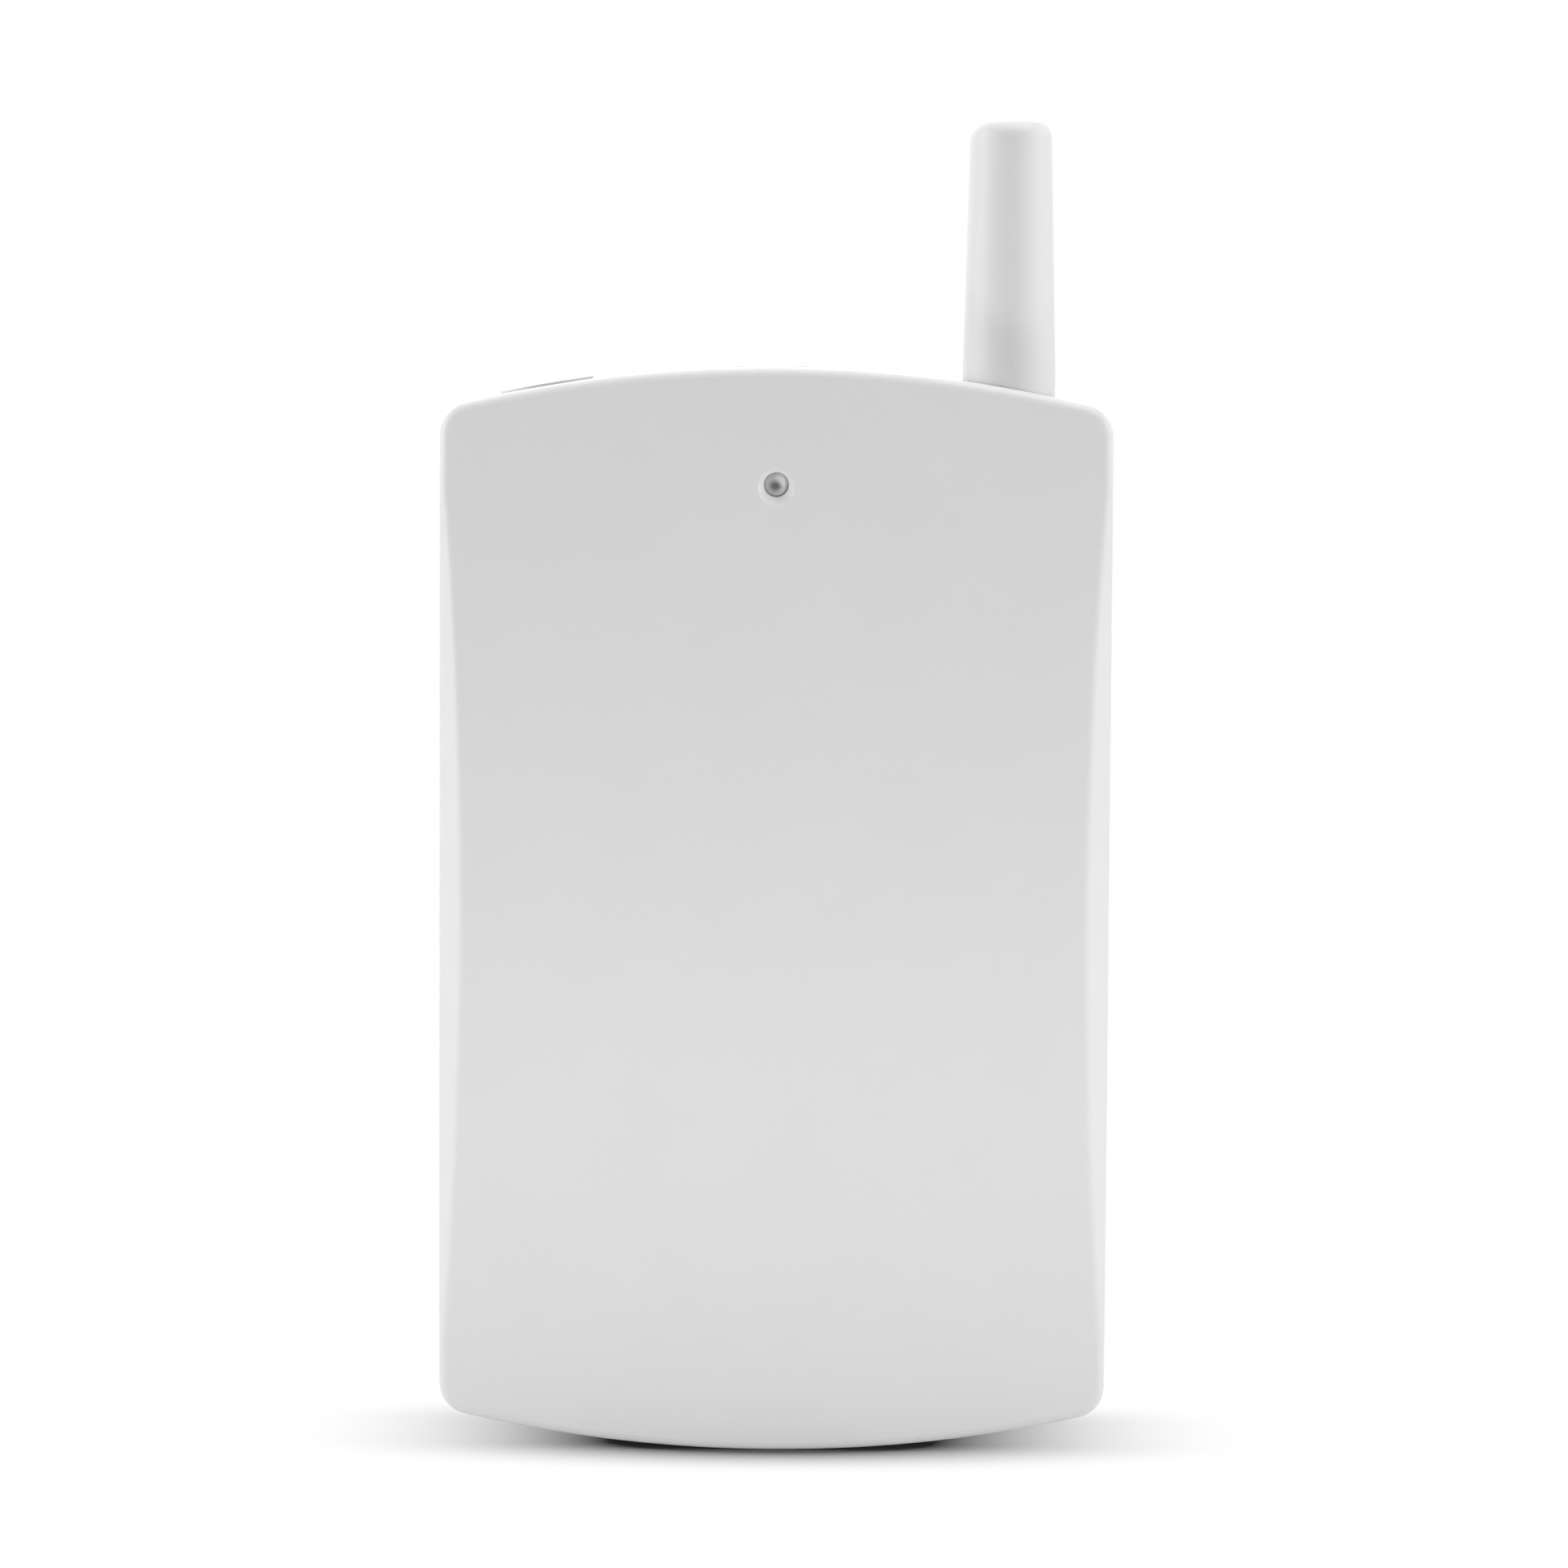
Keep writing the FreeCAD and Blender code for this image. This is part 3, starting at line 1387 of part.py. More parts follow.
def make_leads():
    """Red and black wires from the snap connector to the board"""
    clip_x = (clip_left + clip_right) / 2
    pad_z = board_bottom + v.lead_pad_rise
    red_x = clip_x - v.red_exit_left
    red_depth = battery_middle - v.red_exit_back
    red_bow = (clip_x - v.red_bow_left, battery_middle - v.red_bow_back, board_bottom - v.red_bow_drop)
    red = [
        (red_x, red_depth, clip_top),
        (red_x, red_depth, clip_top + v.red_exit_length),
        red_bow,
        (v.red_pad_x, board_front + v.red_arrival, pad_z),
        (v.red_pad_x, board_front, pad_z),
    ]
    black_x = clip_x + v.black_exit_right
    black_depth = battery_middle + v.black_exit_front
    black_bow = (
        clip_x - v.black_bow_left,
        battery_middle + v.black_bow_front,
        board_bottom - v.black_bow_drop,
    )
    black = [
        (black_x, black_depth, clip_top),
        (black_x, black_depth, clip_top + v.black_exit_length),
        black_bow,
        (v.black_pad_x, board_front + v.black_arrival, pad_z),
        (v.black_pad_x, board_front, pad_z),
    ]
    for name, route in (("battery_lead_red", red), ("battery_lead_black", black)):
        points = [Vector(x.value, -depth.value, z.value) for x, depth, z in route]
        node(name, tube(name, points, v.wire_radius.value))


make_front_cover()
make_back_shell()
make_antenna()
make_board()
make_lamp()
make_sensor()
make_trimmer()
make_power_switch()
make_tamper_switch()
make_coding_pins()
make_chip()
make_radio_parts()
make_can_capacitor(
    "filter_capacitor", v.filter_x, board_bottom + v.filter_rise, v.filter_radius, v.filter_height
)
make_can_capacitor(
    "supply_capacitor", v.supply_x, board_bottom + v.supply_rise, v.supply_radius, v.supply_height
)
make_resistors()
make_battery()
make_clip()
make_leads()

# Test every object, then write one file for each sub-part

doc.recompute()
for thing in doc.Objects:
    if "Invalid" in thing.State or "Error" in thing.State:
        raise RuntimeError(f"{thing.Label} failed: {thing.State}")
for name, thing in nodes.items():
    if thing.Shape.isNull() or not thing.Shape.isValid() or not thing.Shape.Solids:
        raise RuntimeError(f"{name} has no valid solid")

os.makedirs("parts", exist_ok=True)
for name, thing in nodes.items():
    thing.Shape.exportStep(f"parts/{name}.step")
print(len(nodes), "sub-parts")
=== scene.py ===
import json
import math

import bmesh
import bpy
from bpy.props import FloatProperty, FloatVectorProperty, PointerProperty
from mathutils import Matrix, Vector


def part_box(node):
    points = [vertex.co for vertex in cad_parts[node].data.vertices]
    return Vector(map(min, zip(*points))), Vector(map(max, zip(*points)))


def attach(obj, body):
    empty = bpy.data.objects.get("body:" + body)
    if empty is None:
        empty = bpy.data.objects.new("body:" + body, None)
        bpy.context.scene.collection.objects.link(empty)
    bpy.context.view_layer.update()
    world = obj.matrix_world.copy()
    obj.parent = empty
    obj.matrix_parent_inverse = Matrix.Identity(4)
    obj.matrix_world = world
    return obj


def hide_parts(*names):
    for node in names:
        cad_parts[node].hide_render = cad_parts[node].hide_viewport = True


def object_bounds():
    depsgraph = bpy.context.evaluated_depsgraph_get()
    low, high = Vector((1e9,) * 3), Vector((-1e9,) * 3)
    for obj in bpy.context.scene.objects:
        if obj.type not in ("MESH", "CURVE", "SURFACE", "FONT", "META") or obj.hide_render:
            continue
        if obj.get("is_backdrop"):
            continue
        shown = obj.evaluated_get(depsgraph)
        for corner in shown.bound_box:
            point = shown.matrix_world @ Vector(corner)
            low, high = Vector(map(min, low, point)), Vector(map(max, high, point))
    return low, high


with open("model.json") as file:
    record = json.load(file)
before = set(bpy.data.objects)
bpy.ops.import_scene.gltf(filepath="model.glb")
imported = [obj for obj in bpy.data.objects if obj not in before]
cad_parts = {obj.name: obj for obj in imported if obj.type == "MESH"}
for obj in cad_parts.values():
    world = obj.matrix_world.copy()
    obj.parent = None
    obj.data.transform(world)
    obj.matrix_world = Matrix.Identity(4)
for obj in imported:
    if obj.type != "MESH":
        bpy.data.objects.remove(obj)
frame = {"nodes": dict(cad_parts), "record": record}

bl_info = {
    "name": "Wireless vibration detector",
    "version": (1, 0, 0),
    "blender": (4, 5, 0),
    "location": "View3D > Sidebar > Detector",
    "description": "Finishes and fine detail of a vibration detector, and the stage that shows it",
    "category": "Add Mesh",
}

MM = 0.001
FORWARD = Vector((0.0, -1.0, 0.0))
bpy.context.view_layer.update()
board_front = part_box("circuit_board")[0].y
bodies = frame["record"]["behaviour"]["bodies"]


def linear(hex_code):
    """Turn an sRGB hex colour into linear values with full opacity"""
    shares = [int(hex_code[place : place + 2], 16) / 255 for place in (0, 2, 4)]
    levels = [share / 12.92 if share <= 0.04045 else ((share + 0.055) / 1.055) ** 2.4 for share in shares]
    return (*levels, 1.0)


# Settings that a user would change


def colour_setting(name, description, hex_code):
    """Colour that a user can change, given as sRGB hex"""
    return FloatVectorProperty(
        name=name,
        description=description,
        subtype="COLOR",
        size=4,
        min=0.0,
        max=1.0,
        default=linear(hex_code),
    )


def size_setting(name, description, millimetres):
    """Length that a user can change, given in millimetres"""
    return FloatProperty(
        name=name,
        description=description,
        subtype="DISTANCE",
        unit="LENGTH",
        precision=5,
        default=millimetres * MM,
    )


def power_setting(name, description, watts):
    """Power of a lamp"""
    return FloatProperty(name=name, description=description, subtype="POWER", unit="POWER", default=watts)


class CaseSettings(bpy.types.PropertyGroup):
    """Finish of the white mouldings"""

    colour: colour_setting("Shell colour", "Colour of the ABS that the two shells are moulded in", "E6E6E7")
    grain: size_setting("Grain", "Spacing of the eroded mould texture", 0.22)
    roughness: FloatProperty(
        name="Roughness",
        description="Roughness of the moulded skin",
        subtype="FACTOR",
        min=0.0,
        max=1.0,
        default=0.46,
    )


class BoardSettings(bpy.types.PropertyGroup):
    """Finish and print of the circuit board"""

    mask: colour_setting("Solder mask", "Colour of the lacquer over bare laminate", "16582E")
    covered: colour_setting("Covered copper", "Colour of the lacquer over copper", "2C8148")
    track: size_setting("Track", "Width of a signal track", 0.4)
    power_track: size_setting("Power track", "Width of a track that feeds the board", 1.1)
    legend: size_setting("Legend line", "Width of the white outlines round the parts", 0.2)


class BatterySettings(bpy.types.PropertyGroup):
    """Print of the battery's plain jacket"""

    body: colour_setting("Jacket", "Main colour of the jacket", "26282C")
    band: colour_setting("Band", "Colour of the metallic band at the foot", "B07A45")


class StageSettings(bpy.types.PropertyGroup):
    """Camera and lamps"""

    lens: FloatProperty(name="Focal length", description="Given in millimetres", default=135.5, min=10.0)
    left_light: power_setting("Left lamp", "Power of the lamp on the left", 3.7)
    right_light: power_setting("Right lamp", "Power of the lamp on the right", 1.95)
    front_light: power_setting("Front lamp", "Power of the lamp at the front, on the right", 1.08)
    top_light: power_setting("Top lamp", "Power of the lamp above, on the right", 2.3)
    over_light: power_setting("Overhead lamp", "Power of the lamp straight above, a little behind", 2.4)
    back_light: power_setting("Back lamp", "Power of the lamp behind the object", 2.8)
    low_light: power_setting("Low card", "Power of the light that a low card throws up at the face", 0.04)
    sky: FloatProperty(name="Room light", description="Strength of the light from all sides", default=0.12)


# Tools for materials

# A mix node has sockets for several kinds of value. These are its two colours and their blend
FIRST_COLOUR = 6
SECOND_COLOUR = 7
BLEND = 2
# A wave texture repeats this many times in each unit of its scaled space
WAVE_TURNS = 20.0 / math.tau
# Size of the clouds that plastic shows where it flowed
FLOW_SIZE = 9 * MM
# Streaks on worked metal have this share of its colour, and its roughness wanders between these two
STREAK_TONE = 0.86
STREAK_SMOOTH = 0.8
STREAK_ROUGH = 1.25


def add_node(tree, kind, settings=None, links=None):
    """Add one shader node with its settings, and link other nodes' outputs into it"""
    node = tree.nodes.new(kind)
    for name, value in (settings or {}).items():
        if isinstance(name, int) or name in node.inputs:
            node.inputs[name].default_value = value
        else:
            setattr(node, name, value)
    for name, source in (links or {}).items():
        tree.links.new(source, node.inputs[name])
    return node


def empty_tree(owner):
    """Node tree of a material or a world, without the nodes it comes with"""
    owner.use_nodes = True
    owner.node_tree.nodes.clear()
    return owner.node_tree


def new_material(**constants):
    """Make a material with one Principled shader, whose plain values are set on its own sockets"""
    material = bpy.data.materials.new("unnamed")
    tree = empty_tree(material)
    shader = add_node(tree, "ShaderNodeBsdfPrincipled", constants)
    add_node(tree, "ShaderNodeOutputMaterial", links={"Surface": shader.outputs["BSDF"]})
    return material, tree, shader


def finish(make):
    """Material that a function makes, named after the function, made when it is first asked for"""
    name = make.__name__
    if name not in bpy.data.materials:
        make().name = name
    return bpy.data.materials[name]


def own_space(tree, scale=(1.0, 1.0, 1.0), shift=(0.0, 0.0, 0.0)):
    """Coordinates in the object's own space, scaled and then shifted"""
    place = {"Vector": add_node(tree, "ShaderNodeTexCoord").outputs["Object"]}
    return add_node(tree, "ShaderNodeMapping", {"Scale": scale, "Location": shift}, place).outputs["Vector"]


def spread(tree, size, detail=2.0, squeeze=(1.0, 1.0, 1.0)):
    """Noise in the object's own space, whose blobs are as large as size in metres"""
    settings = {"Scale": 1.0 / size, "Detail": detail, "Roughness": 0.55}
    noise = add_node(tree, "ShaderNodeTexNoise", settings, {"Vector": own_space(tree, squeeze)})
    return noise.outputs["Fac"]


def weave(tree, spacing):
    """Crossing threads of a cloth in the board's plane, as bright ridges"""
    settings = {"Scale": 1.0 / (spacing * WAVE_TURNS), "Distortion": 0.6, "Detail": 1.0}
    place = {"Vector": own_space(tree)}
    warp, weft = [
        add_node(tree, "ShaderNodeTexWave", {"bands_direction": direction, **settings}, place).outputs["Fac"]
        for direction in ("X", "Z")
    ]
    ridges = add_node(tree, "ShaderNodeMath", {"operation": "MAXIMUM"}, {0: warp, 1: weft})
    return ridges.outputs["Value"]


def vary_roughness(tree, shader, pattern, low, high):
    """Let the roughness wander between two values"""
    # A noise seldom leaves the middle of its range, so that part is spread over the whole span
    span = {"From Min": 0.3, "From Max": 0.7, "To Min": low, "To Max": high}
    value = add_node(tree, "ShaderNodeMapRange", span, {"Value": pattern})
    tree.links.new(value.outputs["Result"], shader.inputs["Roughness"])


def vary_colour(tree, shader, pattern, first, second):
    """Let the colour wander between two linear colours"""
    colours = {"data_type": "RGBA", FIRST_COLOUR: first, SECOND_COLOUR: second}
    mixed = add_node(tree, "ShaderNodeMix", colours, {"Factor": pattern})
    tree.links.new(mixed.outputs[BLEND], shader.inputs["Base Color"])


def add_relief(tree, shader, pattern, depth):
    """Turn a pattern into a relief of that depth in metres"""
    relief = add_node(tree, "ShaderNodeBump", {"Strength": 1.0, "Distance": depth}, {"Height": pattern})
    tree.links.new(relief.outputs["Normal"], shader.inputs["Normal"])


def darker(colour, share):
    """A share of a linear colour"""
    return (*[value * share for value in colour[:3]], 1.0)


def moulded(colour, roughness, grain, relief, swing=0.05, mottle=0.97):
    """Injection moulding: a hardly visible flow mottle, and the fine texture of the mould"""
    material, tree, shader = new_material(IOR=1.53)
    vary_colour(tree, shader, spread(tree, FLOW_SIZE, 3.0), darker(colour, mottle), colour)
    skin = spread(tree, grain, 1.0)
    vary_roughness(tree, shader, skin, roughness - swing, roughness + swing)
    add_relief(tree, shader, skin, relief)
    return material


def plated(colour, roughness, streak, squeeze=(1.0, 1.0, 1.0), relief=0.4e-6):
    """Drawn, turned or plated metal: fine streaks along the way it was worked spread the highlight"""
    material, tree, shader = new_material(Metallic=1.0)
    streaks = spread(tree, streak, 3.0, squeeze)
    vary_colour(tree, shader, streaks, darker(colour, STREAK_TONE), colour)
    vary_roughness(tree, shader, streaks, roughness * STREAK_SMOOTH, roughness * STREAK_ROUGH)
    add_relief(tree, shader, streaks, relief)
    return material


# Materials, each made once and named for what the real one is


def satin_white_abs():
    # ABS moulded in an eroded tool: satin white with soft, wide highlights
    settings = bpy.context.scene.detector_case
    return moulded(tuple(settings.colour), roughness=settings.roughness, grain=settings.grain, relief=2.2e-6)


def lacquered_laminate():
    # Glass laminate under green lacquer: glossy, and the threads of the cloth show through as a faint grid
    colour = tuple(bpy.context.scene.detector_board.mask)
    material, tree, shader = new_material(IOR=1.5)
    threads = weave(tree, 0.55 * MM)
    vary_colour(tree, shader, threads, darker(colour, 0.8), colour)
    vary_roughness(tree, shader, spread(tree, 1.5 * MM), 0.24, 0.36)
    add_relief(tree, shader, threads, 3e-6)
    return material


def lacquered_copper():
    # Lacquer over copper: lighter and warmer than over bare laminate, with a wavy gloss
    colour = tuple(bpy.context.scene.detector_board.covered)
    return moulded(colour, roughness=0.28, grain=0.8 * MM, relief=2e-6, mottle=0.9)


def white_legend_ink():
    # Screen-printed epoxy ink: flat white with slightly ragged cover
    return moulded(linear("DEDFDA"), roughness=0.6, grain=0.12 * MM, relief=4e-6, mottle=0.88)


def zinc_plated_steel():
    # Bright zinc: bluish silver with a cloudy passivation
    return plated(linear("B9BBBE"), roughness=0.3, streak=0.5 * MM)


def tinned_copper():
    # Hot-tinned wire and solder: bright, rippled along its length
    return plated(linear("C9CACC"), roughness=0.24, streak=0.25 * MM, squeeze=(1.0, 0.4, 1.0), relief=1.2e-6)


def soldered_joint():
    # Solder that froze in the air: silver with a frosted skin
    return plated(linear("C4C6C8"), roughness=0.3, streak=0.16 * MM, relief=2.5e-6)


def nickel_plate():
    # Nickel on pressed sheet: warm grey mirror with fine drawing lines
    return plated(linear("C9C6BE"), roughness=0.22, streak=0.3 * MM, squeeze=(1.0, 1.0, 0.25))


def brass_sheet():
    # Rolled brass: yellow, with lines in the rolling direction
    return plated(linear("C9A254"), roughness=0.28, streak=0.2 * MM, squeeze=(1.0, 1.0, 0.2))


def gold_flash():
    # Thin gold on square pins: soft yellow gloss
    return plated(linear("E0B95C"), roughness=0.24, streak=0.2 * MM, squeeze=(1.0, 0.2, 1.0))


def rolled_aluminium():
    # Bare aluminium can: pale grey with a dull sheen
    return plated(linear("D2D4D5"), roughness=0.34, streak=0.3 * MM, relief=0.8e-6)


def drawn_steel_can():
    # Deep-drawn and nickel-plated can: smooth silver with faint draw marks round it
    return plated(linear("C6C7C8"), roughness=0.25, streak=2.5 * MM, relief=0.6e-6)


def enamelled_copper():
    # Magnet wire: copper under clear enamel, reddish and glossy
    return plated(linear("B4603A"), roughness=0.2, streak=0.4 * MM)


def natural_nylon():
    # Unfilled nylon: ivory and faintly waxy
    return moulded(linear("E9E6DA"), roughness=0.42, grain=0.3 * MM, relief=2e-6)


def grey_abs():
    # Grey ABS with a fine matt texture
    return moulded(linear("8A8E92"), roughness=0.5, grain=0.25 * MM, relief=3e-6, mottle=0.93)


def light_grey_abs():
    # Lighter batch of the same ABS, for the lid
    return moulded(linear("A3A7AA"), roughness=0.48, grain=0.25 * MM, relief=3e-6, mottle=0.93)


def fired_ceramic():
    # Silvered piezo ceramic: chalky and slightly speckled
    return moulded(linear("E4E1D6"), roughness=0.6, grain=0.2 * MM, relief=3e-6, mottle=0.88)


def brown_dipped_ceramic():
    # Disc capacitor dipped in tan resin: smooth, with slow ripples
    return moulded(linear("B5702C"), roughness=0.35, grain=0.9 * MM, relief=6e-6, mottle=0.82)


def blue_polyester():
    # Glass-filled polyester: deep blue with a satin skin
    return moulded(linear("1E4C9C"), roughness=0.4, grain=0.3 * MM, relief=2.5e-6, mottle=0.88)


def blue_nylon():
    # Brighter blue nylon of the jumper cap
    return moulded(linear("1E56B8"), roughness=0.42, grain=0.3 * MM, relief=2.5e-6, mottle=0.88)


def white_acetal():
    # Acetal: dense white with an oily gloss
    return moulded(linear("E4E3DE"), roughness=0.36, grain=0.35 * MM, relief=1.5e-6)


def red_acetal():
    # Acetal coloured red
    return moulded(linear("B3231D"), roughness=0.36, grain=0.35 * MM, relief=1.5e-6, mottle=0.9)


def black_filled_nylon():
    # Glass-filled nylon: charcoal with a sparkle of fibres near the skin
    return moulded(linear("1D1D1F"), roughness=0.5, grain=0.18 * MM, relief=4e-6, swing=0.1, mottle=0.75)


def moulded_epoxy():
    # Chip compound: near black and matt, a little browner where it flowed
    return moulded(linear("232324"), roughness=0.58, grain=0.16 * MM, relief=5e-6, mottle=0.8)


def fired_resistor_glaze():
    # Glassy black glaze over the resistive film
    return moulded(linear("131315"), roughness=0.25, grain=0.4 * MM, relief=2e-6)


def shrunk_sleeve():
    # Shrunk PVC sleeve: glossy dark blue with slight puckers
    return moulded(linear("1A2B5C"), roughness=0.26, grain=0.9 * MM, relief=8e-6, mottle=0.85)


def printed_stripe():
    # Pale ink of the sleeve's minus stripe
    return moulded(linear("B9C2D2"), roughness=0.35, grain=0.3 * MM, relief=3e-6, mottle=0.9)


def black_soft_pvc():
    # Soft PVC: black, slightly greasy gloss
    return moulded(linear("19191A"), roughness=0.38, grain=0.6 * MM, relief=6e-6, mottle=0.8)


def red_soft_pvc():
    # Soft PVC coloured red
    return moulded(linear("B01E1A"), roughness=0.38, grain=0.6 * MM, relief=4e-6, mottle=0.9)


def open_cell_foam():
    # Foam: no gloss, full of small pits
    material, tree, shader = new_material(IOR=1.4)
    pit = {"Scale": 1.0 / (0.45 * MM)}
    pits_and_painted_shade = add_node(tree, "ShaderNodeTexVoronoi", pit, {"Vector": own_space(tree)}).outputs["Distance"]
    # The pits are painted darker, as painted shade in the hollows
    vary_colour(tree, shader, pits_and_painted_shade, linear("3A3C3F"), linear("6A6C70"))
    vary_roughness(tree, shader, pits_and_painted_shade, 0.85, 0.95)
    add_relief(tree, shader, pits_and_painted_shade, 0.12 * MM)
    return material


def soft_spot(tree, centre, radius):
    """One at a point of the board's plane, and nought past the radius round it"""
    place = own_space(tree, (1 / radius, 0.0, 1 / radius), (-centre.x / radius, 0.0, -centre.z / radius))
    ball = add_node(tree, "ShaderNodeTexGradient", {"gradient_type": "SPHERICAL"}, {"Vector": place})
    edge = {"interpolation_type": "SMOOTHSTEP", "From Max": 0.8}
    return add_node(tree, "ShaderNodeMapRange", edge, {"Value": ball.outputs["Fac"]}).outputs["Result"]


def diffusing_epoxy():
    # Tinted epoxy: glossy and milky, with the lamp's dark chip blurred inside, and a painted highlight up on
    # the right where a lamp's reflection falls
    low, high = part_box("status_lamp")
    middle = (low + high) / 2
    material, tree, shader = new_material(IOR=1.53, **{"Transmission Weight": 0.1})
    chip = soft_spot(tree, middle + Vector((-0.08, 0.0, -0.16)) * MM, 0.95 * MM)
    # The pale spot up on the right is a painted highlight
    painted_highlight = soft_spot(tree, middle + Vector((0.42, 0.0, 0.42)) * MM, 0.85 * MM)
    resin = {"data_type": "RGBA", FIRST_COLOUR: linear("DADBDB"), SECOND_COLOUR: linear("FBFBFA")}
    resin_and_highlight = add_node(tree, "ShaderNodeMix", resin, {"Factor": painted_highlight}).outputs[BLEND]
    dark = {"data_type": "RGBA", SECOND_COLOUR: linear("636465")}
    seen = add_node(tree, "ShaderNodeMix", dark, {"Factor": chip, FIRST_COLOUR: resin_and_highlight}).outputs[BLEND]
    tree.links.new(seen, shader.inputs["Base Color"])
    vary_roughness(tree, shader, spread(tree, 0.6 * MM), 0.12, 0.2)
    return material


def printed_steel_jacket():
    # Printed steel jacket: satin graphite with a bronze band, and bare crimped steel at both ends
    settings = bpy.context.scene.detector_battery
    low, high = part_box("battery")
    length = high.x - low.x
    end = 0.8 * MM / length
    band = 0.3
    line = 0.6 * MM / length
    steel, pale = linear("B4B5B3"), linear("D8D6CF")
    # Where each zone starts as a share of the length, its colour, and how metallic it is
    zones = (
        (0.0, steel, 1.0),
        (end, tuple(settings.band), 0.7),
        (band, pale, 0.0),
        (band + line, tuple(settings.body), 0.0),
        (1.0 - end, steel, 1.0),
    )
    material, tree, shader = new_material(IOR=1.5)
    place = own_space(tree, (1 / length, 1, 1), (-low.x / length, 0, 0))
    along = add_node(tree, "ShaderNodeSeparateXYZ", links={"Vector": place}).outputs["X"]
    colours = [colour for start, colour, metal in zones]
    metals = [(metal, metal, metal, 1.0) for start, colour, metal in zones]
    for socket, values in (("Base Color", colours), ("Metallic", metals)):
        ramp = add_node(tree, "ShaderNodeValToRGB", links={"Fac": along})
        ramp.color_ramp.interpolation = "CONSTANT"
        stops = ramp.color_ramp.elements
        stops.remove(stops[1])
        stops[0].color = values[0]
        for zone, value in zip(zones[1:], values[1:]):
            stops.new(zone[0]).color = value
        tree.links.new(ramp.outputs["Color"], shader.inputs[socket])
    skin = spread(tree, 0.5 * MM, 3.0, (0.2, 1.0, 1.0))
    vary_roughness(tree, shader, skin, 0.28, 0.4)
    add_relief(tree, shader, skin, 1e-6)
    return material


# Tools for shapes

SMOOTH_ANGLE = math.radians(35)
# Faces of a CAD mesh that meet at less than this are one flat face
FLAT_ANGLE = math.radians(1)


def as_mesh(name, shape):
    """Turn a bmesh into a mesh"""
    mesh = bpy.data.meshes.new(name)
    shape.to_mesh(mesh)
    shape.free()
    return mesh


def add_object(name, data):
    """Put a mesh, a lamp or a camera into the scene"""
    item = bpy.data.objects.new(name, data)
    bpy.context.scene.collection.objects.link(item)
    return item


def add_piece(name, shape, make, body="base", replaced=(), soft_edge=0.0):
    """Turn a bmesh into a piece with a material, which rides on a body"""
    bmesh.ops.recalc_face_normals(shape, faces=shape.faces)
    mesh = as_mesh(name, shape)
    mesh.polygons.foreach_set("use_smooth", [True] * len(mesh.polygons))
    mesh.set_sharp_from_angle(angle=SMOOTH_ANGLE)
    mesh.materials.append(finish(make))
    piece = add_object(name, mesh)
    if soft_edge:
        bevel = piece.modifiers.new("soft_edges", "BEVEL")
        bevel.width = soft_edge
        bevel.segments = 2
        bevel.limit_method = "ANGLE"
        bevel.angle_limit = SMOOTH_ANGLE
        bevel.harden_normals = True
    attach(piece, body)
    if replaced:
        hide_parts(*replaced)
    return piece


def add_box(shape, low, high):
    """Block between two corners"""
    low, high = Vector(low), Vector(high)
    block = bmesh.ops.create_cube(shape, size=1.0)["verts"]
    bmesh.ops.scale(shape, vec=high - low, verts=block)
    bmesh.ops.translate(shape, vec=(low + high) / 2, verts=block)


def add_turned(shape, profile, base, along=FORWARD, steps=32, closed=False, sweep=math.tau):
    """Spin a profile of (radius, height) pairs about an axis that starts at base"""
    side = along.orthogonal().normalized()
    points = [shape.verts.new(base + side * radius + along * height) for radius, height in profile]
    ends = points[1:] + points[:1] if closed else points[1:]
    edges = [shape.edges.new(pair) for pair in zip(points, ends)]
    whole = sweep == math.tau
    bmesh.ops.spin(
        shape, geom=points + edges, cent=base, axis=along, angle=sweep, steps=steps, use_merge=whole
    )
    bmesh.ops.remove_doubles(shape, verts=shape.verts, dist=1e-8)


def close_ends(shape):
    """Fill the openings of a shape"""
    bmesh.ops.holes_fill(shape, edges=[edge for edge in shape.edges if edge.is_boundary])


def rod(radius, height):
    """Profile of a plain round rod"""
    return [(0.0, 0.0), (radius, 0.0), (radius, height), (0.0, height)]


def rounded(radius, height, edge):
    """Profile of a turned button: flat foot, straight side and a rounded top edge"""
    corner = []
    for angle in (0, 22.5, 45, 67.5, 90):
        turn = math.radians(angle)
        corner.append((radius - edge + edge * math.cos(turn), height - edge + edge * math.sin(turn)))
    return [(0.0, 0.0), (radius, 0.0), *corner, (0.0, height)]


def in_metres(pairs):
    """Profile or places that are written in millimetres, in metres"""
    return [(first * MM, second * MM) for first, second in pairs]


def on_board(x, z, height=0.0):
    """Point over the board's front face"""
    return Vector((x, board_front - height, z))


def add_strip(shape, first, last, width, height):
    """Flat strip on the board between two (x, z) points"""
    run = Vector((last[0] - first[0], 0.0, last[1] - first[1]))
    block = bmesh.ops.create_cube(shape, size=1.0)["verts"]
    bmesh.ops.scale(shape, vec=(run.length, height, width), verts=block)
    turn = Matrix.Rotation(-math.atan2(run.z, run.x), 3, "Y")
    bmesh.ops.rotate(shape, matrix=turn, verts=block)
    middle = on_board((first[0] + last[0]) / 2, (first[1] + last[1]) / 2, height / 2)
    bmesh.ops.translate(shape, vec=middle, verts=block)


def add_route(shape, route, width, height):
    """Strips along a route on the board, with round ends and corners"""
    for first, last in zip(route, route[1:]):
        add_strip(shape, first, last, width, height)
    # The round spots are a hair lower than the strips, so that no two faces lie in one plane
    for spot in route:
        add_turned(shape, rod(width / 2, height * 0.9), on_board(*spot), steps=12)


def add_ring(shape, centre, inner, outer, height, steps=32):
    """Flat ring that faces forward"""
    section = [(inner, 0.0), (outer, 0.0), (outer, height), (inner, height)]
    add_turned(shape, section, centre, steps=steps, closed=True)


def merged_copy(name):
    """Copy of a CAD node's mesh, with its loose triangles joined"""
    shape = bmesh.new()
    shape.from_mesh(frame["nodes"][name].data)
    bmesh.ops.remove_doubles(shape, verts=shape.verts, dist=1e-6)
    return shape


